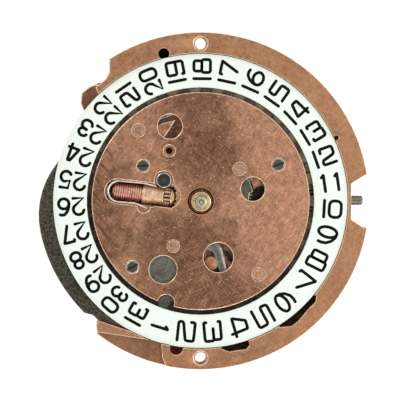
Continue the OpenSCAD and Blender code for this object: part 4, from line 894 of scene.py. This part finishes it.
class MOVEMENT_OT_main_plate(bpy.types.Operator):
    """Dresses the main plate with painted highlights on its edges, painted shade in its hollows and worn copper
    plating
    """
    bl_idname = "movement.main_plate"
    bl_label = "Main plate"

    # Half profile of the steel disc that shows in the window towards seven o'clock
    DISC = ((0, -0.55), (0.66, -0.55), (0.7, -0.52), (0.7, -0.46), (0.66, -0.43), (0, -0.43))

    def execute(self, context):
        mesh = merged("main_plate")
        bevel_edges(mesh, context.scene.movement_edges.plate, (PLATE_TOP, PLATE_TOP - STEP_DEPTH, PLATE_BOTTOM),
                    slot=1)
        bevel_edges(mesh, 0.06, (LEDGE,), where=lambda place: near(place, WINDOW_A, 1.3), slot=1, drop=SHALLOW)
        names = ("rim", "edge", "ledge", "well", "rust", "pit", "step", "deep", "gap")
        piece = as_piece(mesh, "main_plate_piece", names, "main_plate", sharp=SHARP_ON_FLATS)

        # Painted light and shade by place: the ledge below the guard plate takes a lightened copper, and the
        # gap, the dark hole, the deep corner and the lower step take dark copies as shade; the rusty hole is a
        # real stain
        def name_of(place):
            reach = math.hypot(place.x, place.y)
            if place.z > PLATE_TOP - 0.1 or place.z < PLATE_BOTTOM + 0.05:
                return "rim"
            if reach < RING_OUTER + 0.05:
                if place.z > LEDGE - 0.1:
                    return "ledge"
                return "gap" if reach > BARE_RADIUS or abs(place.z - RECESS_FLOOR) < 0.01 else "well"
            if near(place, *DARK_HOLE):
                return "pit"
            if place.x > DEEP_CORNER[0] and place.y < DEEP_CORNER[1]:
                return "deep"
            return "rust" if near(place, *RUSTY_HOLE) else "step"
        finish_by(piece, lambda place, normal: names.index(name_of(place)))
        as_piece(lathe(self.DISC, 48, (*WINDOW_F, 0)), "window_steel", ["dark_steel"], slot="polished_steel")
        return {"FINISHED"}


class MOVEMENT_OT_date_ring(bpy.types.Operator):
    """Dresses the date ring: white lacquer on the band and bare metal on its teeth"""
    bl_idname = "movement.date_ring"
    bl_label = "Date ring"

    def execute(self, context):
        piece = edged("date_ring", 0.035, ["lacquer", "flange"], steps=2)
        finish_by(piece, lambda place, normal: 0 if place.z > RING_TOP - 0.12 else 1)
        return {"FINISHED"}


class MOVEMENT_OT_numerals(bpy.types.Operator):
    """Prints the thirty-one dates on the ring"""
    bl_idname = "movement.numerals"
    bl_label = "Numerals"

    def execute(self, context):
        sizes = context.scene.movement_print
        mesh = sweep("numerals", numeral_lines(sizes), sizes.stroke / 2, 3, sizes.film / sizes.stroke, RING_TOP)
        as_piece(mesh, "numerals", ["ink"], body="date_ring_body", slot="white_print", sharp=SHARP_ON_WIRE)
        return {"FINISHED"}


class MOVEMENT_OT_guard_plate(bpy.types.Operator):
    """Dresses the guard plate with chamfered windows, painted highlights on their edges, and worn plating with
    painted shade
    """
    bl_idname = "movement.guard_plate"
    bl_label = "Guard plate"

    # The slot end piece: its outer radius and its start and end in degrees
    OUTER = 1.61
    SPAN = (-75.0, 55.0)
    # The slot floor's worn crescents as (inner radius, half their span in degrees, height)
    CRESCENTS = ((0.62, 30, -0.13), (0.8, 57, -0.135))
    CRESCENT_OUTER = 1.04
    CRESCENT_BOTTOM = -0.24
    # Where the solid's slot ends, as a range of x and the middle and half width in y
    FAR_END = ((-2.4, -1.15), (0.3, 1.1))

    def execute(self, context):
        width = context.scene.movement_edges.guard

        def is_open(place):
            """Leaves out the slot's far end, which the slot end piece covers."""
            (start, end), (middle, half) = self.FAR_END
            far_end = start < place.x < end and abs(place.y - middle) < half
            return not far_end or near(place, SLOT_END, SLOT_END_RADIUS + 0.01)
        edged("guard_plate", width, ["guard", "edge"], where=is_open, slot=1, drop=SHALLOW)

        top, bottom, inner = GUARD_TOP - CLEAR, LEDGE + 0.02, SLOT_END_RADIUS
        profile = [(inner, bottom), (inner, top - SHALLOW), (inner + width, top), (self.OUTER, top),
                   (self.OUTER, bottom)]
        mesh = bmesh.new()
        self.arc(mesh, profile, *self.SPAN, 40)
        for reach, half, height in self.CRESCENTS:
            profile = [(reach, self.CRESCENT_BOTTOM), (reach, height), (self.CRESCENT_OUTER, height),
                       (self.CRESCENT_OUTER, self.CRESCENT_BOTTOM)]
            self.arc(mesh, profile, -half, half, 24)
        bmesh.ops.holes_fill(mesh, edges=[e for e in mesh.edges if e.is_boundary])
        bmesh.ops.recalc_face_normals(mesh, faces=mesh.faces)
        piece = as_piece(mesh, "guard_slot_end", ["guard", "edge"], sharp=SHARP_ON_FLATS)
        finish_by(piece, lambda place, normal: 1 if 0.2 < normal.z < 0.9 else 0)
        return {"FINISHED"}

    def arc(self, mesh, profile, start, end, steps):
        """Spins a closed profile about the slot's end, between two angles in degrees."""
        heading = Matrix.Rotation(math.radians(start), 3, "Z")
        spin(mesh, profile, Vector((*SLOT_END, 0)), heading, steps, math.radians(end - start))


class MOVEMENT_OT_guard_screws(bpy.types.Operator):
    """Dresses the screws, studs and pins of the guard plate"""
    bl_idname = "movement.guard_screws"
    bl_label = "Guard plate screws"

    def execute(self, context):
        top = level("guard_plate_screws")
        heads = edged("guard_plate_screws", 0.07, ["screw", "slot", "screw_edge"], slot=2, drop=0.035,
                      where=lambda place: not any(near(place, spot, 0.44) for spot in GUARD_SCREWS))
        # The slots are painted dark as shade, and the heads' bevels take a crescent of painted highlight
        finish_by(heads, lambda place, normal: 1 if place.z < top - 0.02 else 0)
        edged("guard_plate_studs", context.scene.movement_edges.small, ["stud"], levels=(GUARD_TOP,))
        rivets = bmesh.new()
        lift = GUARD_TOP + CLEAR
        for x, y in GUARD_PINS:
            lathe([(0, lift - 0.01), (0.14, lift - 0.01), (0.25, lift - 0.06), (0.36, lift), (0.4, lift + CLEAR),
                   (0.51, lift - 0.05), (0.51, lift - 0.1), (0, lift - 0.1)], 48, (x, y, 0), mesh=rivets)
        heads = as_piece(rivets, "rivet_heads", ["rivet", "edge"], sharp=SHARP_ON_FLATS)
        # Painted highlights: the tops of the heads take the bright rivet colour, and their chamfers the bright
        # edge colour
        finish_by(heads, lambda place, normal: 1 if 0.3 < normal.z < 0.97 else 0)
        edged("spring_stud", 0.06, ["stud_face", "glint"], slot=1, drop=SHALLOW,
              where=lambda place: not near(place, STUD_AT, 0.5))
        return {"FINISHED"}


class MOVEMENT_OT_hand_fittings(bpy.types.Operator):
    """Dresses the pipes that carry the hands"""
    bl_idname = "movement.hand_fittings"
    bl_label = "Hand fittings"

    def execute(self, context):
        small = context.scene.movement_edges.small
        # The bevels of the pipe and of the seconds wheel take a bright gold colour as painted highlight, and the
        # pipe's hub below the guard plate a dark colour as painted shade
        pipe = edged("hour_wheel", 0.09, [turned_brass("hour_wheel"), "gilt", "deep"], steps=2, slot=1)
        finish_by(pipe, lambda place, normal: 2 if place.z < 0.2 else 0)
        edged("cannon_pinion", 0.06, ["cannon", "glint"], steps=2, slot=1)
        edged("centre_wheel", small, [turned_brass("centre_wheel"), "glint"], slot=1)
        edged("seconds_wheel", small * 2, [turned_brass("seconds_wheel"), "gilt"], slot=1)
        return {"FINISHED"}


class MOVEMENT_OT_plunger(bpy.types.Operator):
    """Dresses the corrector plunger and its hairpin spring"""
    bl_idname = "movement.plunger"
    bl_label = "Plunger and spring"

    # Half profile of the plunger from its domed tip to the shoulder that holds the coil
    PROFILE = ((0, 0), (0.3, 0.01), (0.52, 0.06), (0.68, 0.15), (0.76, 0.29), (0.78, 0.34), (0.82, 0.36),
               (0.85, 0.39), (0.85, 0.5), (0.82, 0.53), (0.48, 0.56), (0.48, 1.11), (0.82, 1.13), (0.85, 1.15),
               (0.85, 1.23), (0.81, 1.27), (0.78, 1.31), (0.78, 1.72), (0.80, 2.1), (0.84, 2.24), (0.85, 2.3),
               (0.85, 2.95), (0.82, 3.0), (0, 3.02))
    LEAF_PLACE = (0.64, 0, 0.835)
    LEAF_SIZE = (0.34 * MM, 0.15 * MM, 0.56 * MM, 1)
    # Core that the coil is wound on
    CORE = ((0, 3.0), (0.68, 3.0), (0.68, 5.45), (0.6, 5.58), (0.45, 5.65), (0, 5.67))
    # Hairpin wire: its radius, its round end as (middle, outer radius), its legs, and the x beyond which
    # it is thicker
    HAIRPIN_WIRE = 0.07
    HAIRPIN_END = ((-7.12, 0.87), 0.98)
    HAIRPIN_LEGS = (((-3.85, 1.3), (-4.93, 1.58)), ((-5.68, -0.16), (-4.66, -0.6)))
    HAIRPIN_THICK = -7.4

    def execute(self, context):
        tip = Vector(PLUNGER_TIP)
        along = Vector((math.cos(math.radians(PLUNGER_TURN)), math.sin(math.radians(PLUNGER_TURN)), 0))
        mesh = lathe(self.PROFILE, 48, tip, along)
        axis = Matrix.Translation(tip * MM) @ UP.rotation_difference(along).to_matrix().to_4x4()
        for leaf in range(PLUNGER_LEAVES):
            spot = (axis @ Matrix.Rotation(math.tau * leaf / PLUNGER_LEAVES, 4, "Z")
                    @ Matrix.Translation(Vector(self.LEAF_PLACE) * MM) @ Matrix.Diagonal(self.LEAF_SIZE))
            made = bmesh.ops.create_cube(mesh, size=1.0, matrix=spot)
            bevel(mesh, list({edge for vert in made["verts"] for edge in vert.link_edges}), 0.03, clamp=True)
        names = ("plunger", "slot", "plunger_end", "gilt", "stud")
        piece = as_piece(mesh, "corrector_plunger_piece", names, "corrector_plunger")

        # The rims each side of the leaves are painted bright as highlight, and the neck among the leaves dark as
        # painted shade
        def name_of(place):
            far = (place - tip).dot(along)
            spread = ((place - tip) - along * far).length
            if far < 0.34:
                return "plunger_end"
            if 0.54 < far < 1.12 and spread < 0.55:
                return "slot"
            if 0.34 < far < 0.53 or 1.12 < far < 1.28:
                return "gilt"
            return "stud" if far > 2.75 else "plunger"
        finish_by(piece, lambda place, normal: names.index(name_of(place)))
        self.coil(tip, along)
        self.hairpin()
        return {"FINISHED"}

    def coil(self, tip, along):
        """Return spring on the plunger's tail, wound in copper-plated wire."""
        side = along.cross(UP)
        coil = []
        for step in range(COIL_TURNS * 24 + 1):
            angle = math.tau * step / 24
            reach = tip + along * (COIL_START + 0.12 + step / 24 * COIL_PITCH)
            place = reach + (side * math.cos(angle) + UP * math.sin(angle)) * COIL_RADIUS
            coil.append((*place, 1.0))
        mesh = sweep("plunger_coil", [(coil, False)], COIL_WIRE, 2)
        lathe(self.CORE, 32, tip, along, mesh)
        piece = as_piece(mesh, "plunger_coil", ["coil"], body=body_of("corrector_plunger"), sharp=SHARP_ON_WIRE)
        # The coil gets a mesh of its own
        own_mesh(piece)

    def hairpin(self):
        """The wire spring that lies round the plunger's tail."""
        (middle, reach), radius = self.HAIRPIN_END, self.HAIRPIN_WIRE
        height = level("hairpin_spring") - radius
        arc = [Vector(middle) + (reach - radius) * Vector((math.cos(a), math.sin(a)))
               for a in (math.radians(PLUNGER_TURN + turn) for turn in range(-90, 91, 6))]
        first, last = self.HAIRPIN_LEGS
        line = curve_points([*first, *[tuple(p) for p in arc], *last], 0.25)
        row = [(p.x, p.y, height, 1.35 if p.x < self.HAIRPIN_THICK else 1.0) for p in line]
        mesh = sweep("hairpin", [(row, False)], radius, 3)
        as_piece(mesh, "hairpin_spring_piece", ["spring"], "hairpin_spring", sharp=SHARP_ON_WIRE)


class MOVEMENT_OT_levers(bpy.types.Operator):
    """Dresses the levers and flat springs of the dial side"""
    bl_idname = "movement.levers"
    bl_label = "Levers and springs"

    # Line of the lever end that shows in the window towards six o'clock, and its place below the guard plate
    LEVER_END = ((0.7, -3.75), (1.45, -4.1), (1.72, -5.1), (2.05, -6.3))
    LEVER_DEPTH = 0.12
    # Half profile of the post in the large window, and its middle
    POST = ((0, -0.478), (0.56, -0.478), (0.58, -0.462), (0.54, -0.452), (0, -0.452))
    POST_AT = (0.92, -5.42, 0)

    def execute(self, context):
        # The yoke spring is painted near black, as shade, so that it hardly shows in its window
        for names, *nodes in ((("steel", "glint"), "date_jumper", "date_jumper_spring", "yoke"),
                              (("dark_steel", "glint"), "setting_lever"),
                              (("black_steel", "black_steel"), "yoke_spring"),
                              (("dark_steel", "glint"), "minute_train_cover")):
            for node in nodes:
                edged(node, 0.035, names, slot=1, drop=0.015)
        line = curve_points(self.LEVER_END, 0.5)
        height = LEDGE - self.LEVER_DEPTH
        row = [(p.x, p.y, height, 1.25 - 0.4 * i / len(line)) for i, p in enumerate(line)]
        mesh = sweep("setting_jumper", [(row, False)], 0.36, 3, 0.16, height)
        as_piece(mesh, "setting_jumper", ["steel"], slot="polished_steel")
        # The post takes the lightened ledge copper, painted light
        as_piece(lathe(self.POST, 40, self.POST_AT), "yoke_spring_post", ["ledge"])
        return {"FINISHED"}


class MOVEMENT_OT_motion_work(bpy.types.Operator):
    """Dresses the stem with its pinions, and the wheels of the motion work and the date train"""
    bl_idname = "movement.motion_work"
    bl_label = "Stem, motion and date wheels"

    def execute(self, context):
        dress_wheels("minute_wheel", "intermediate_setting_wheel", "date_idler", "date_intermediate_wheel")
        dress("steel", "winding_stem", "winding_pinion", "sliding_pinion", "date_driving_wheel")
        # The setting wheel is painted near black as the shade of its window
        dress("black_steel", "setting_wheel")
        return {"FINISHED"}


class MOVEMENT_OT_going_train(bpy.types.Operator):
    """Dresses the barrel, the train and the escapement"""
    bl_idname = "movement.going_train"
    bl_label = "Going train"

    def execute(self, context):
        dress_wheels("barrel_drum", "barrel_cover", "third_wheel", "balance_wheel")
        dress("polished", "barrel_arbor", "escape_wheel", "pallet_fork", "regulator", "click")
        dress("screw", "ratchet_wheel", "ratchet_screw", "crown_wheel")
        dress("spring", "mainspring", "hairspring")
        dress("steel", "click_spring")
        return {"FINISHED"}


class MOVEMENT_OT_bridges(bpy.types.Operator):
    """Dresses the bridges, the cock, their screws and jewels"""
    bl_idname = "movement.bridges"
    bl_label = "Bridges"

    def execute(self, context):
        edges = context.scene.movement_edges
        for node in ("barrel_bridge", "train_bridge", "balance_cock", "automatic_bridge", "pallet_bridge"):
            edged(node, edges.bridge, ["cock" if node == "balance_cock" else "bridge", "edge"],
                  levels=(level(node, False), level(node)), slot=1)
        for node in ("bridge_screws", "automatic_bridge_screws"):
            edged(node, edges.small * 2, ["screw"], levels=())
        dress("ruby", "train_jewels")
        return {"FINISHED"}


class MOVEMENT_OT_automatic(bpy.types.Operator):
    """Dresses the automatic winding and the rotor"""
    bl_idname = "movement.automatic"
    bl_label = "Automatic winding"

    # Thickness of the rotor's arm
    ARM = 0.3

    def execute(self, context):
        edges = context.scene.movement_edges
        dress_wheels("reverser_wheel", "reduction_wheel")
        low = level("rotor_arm", False)
        edged("rotor_arm", edges.bridge, ["bridge"], levels=(low, low + self.ARM))
        edged("rotor_weight", edges.bridge, ["weight"], levels=(), steps=2)
        edged("rotor_screw", edges.small * 2, ["screw"], levels=())
        return {"FINISHED"}


class MOVEMENT_PT_panel(bpy.types.Panel):
    """Lists the pieces of the movement"""
    bl_idname = "MOVEMENT_PT_panel"
    bl_label = "Movement"
    bl_space_type = "VIEW_3D"
    bl_region_type = "UI"
    bl_category = "Movement"

    def draw(self, context):
        for group in GROUPS:
            box = self.layout.box()
            for name in GROUPS[group].__annotations__:
                box.prop(getattr(context.scene, group), name)
        for operator in OPERATORS:
            self.layout.operator(operator.bl_idname)


GROUPS = {"movement_print": MovementPrintSizes, "movement_edges": MovementEdgeSizes,
          "movement_colours": MovementColours, "movement_studio": MovementStudio}
OPERATORS = (MOVEMENT_OT_stage, MOVEMENT_OT_main_plate, MOVEMENT_OT_date_ring, MOVEMENT_OT_numerals,
             MOVEMENT_OT_guard_plate, MOVEMENT_OT_guard_screws, MOVEMENT_OT_hand_fittings,
             MOVEMENT_OT_plunger, MOVEMENT_OT_levers, MOVEMENT_OT_motion_work, MOVEMENT_OT_going_train,
             MOVEMENT_OT_bridges, MOVEMENT_OT_automatic)
CLASSES = (*GROUPS.values(), *OPERATORS, MOVEMENT_PT_panel)


def register():
    for cls in CLASSES:
        bpy.utils.register_class(cls)
    for name, group in GROUPS.items():
        setattr(bpy.types.Scene, name, PointerProperty(type=group))


def unregister():
    for name in GROUPS:
        delattr(bpy.types.Scene, name)
    for cls in reversed(CLASSES):
        bpy.utils.unregister_class(cls)


def main():
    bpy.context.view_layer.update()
    register()
    for operator in OPERATORS:
        group, name = operator.bl_idname.split(".")
        getattr(getattr(bpy.ops, group), name)()
    bpy.context.view_layer.update()


if __name__ == "__main__":
    main()
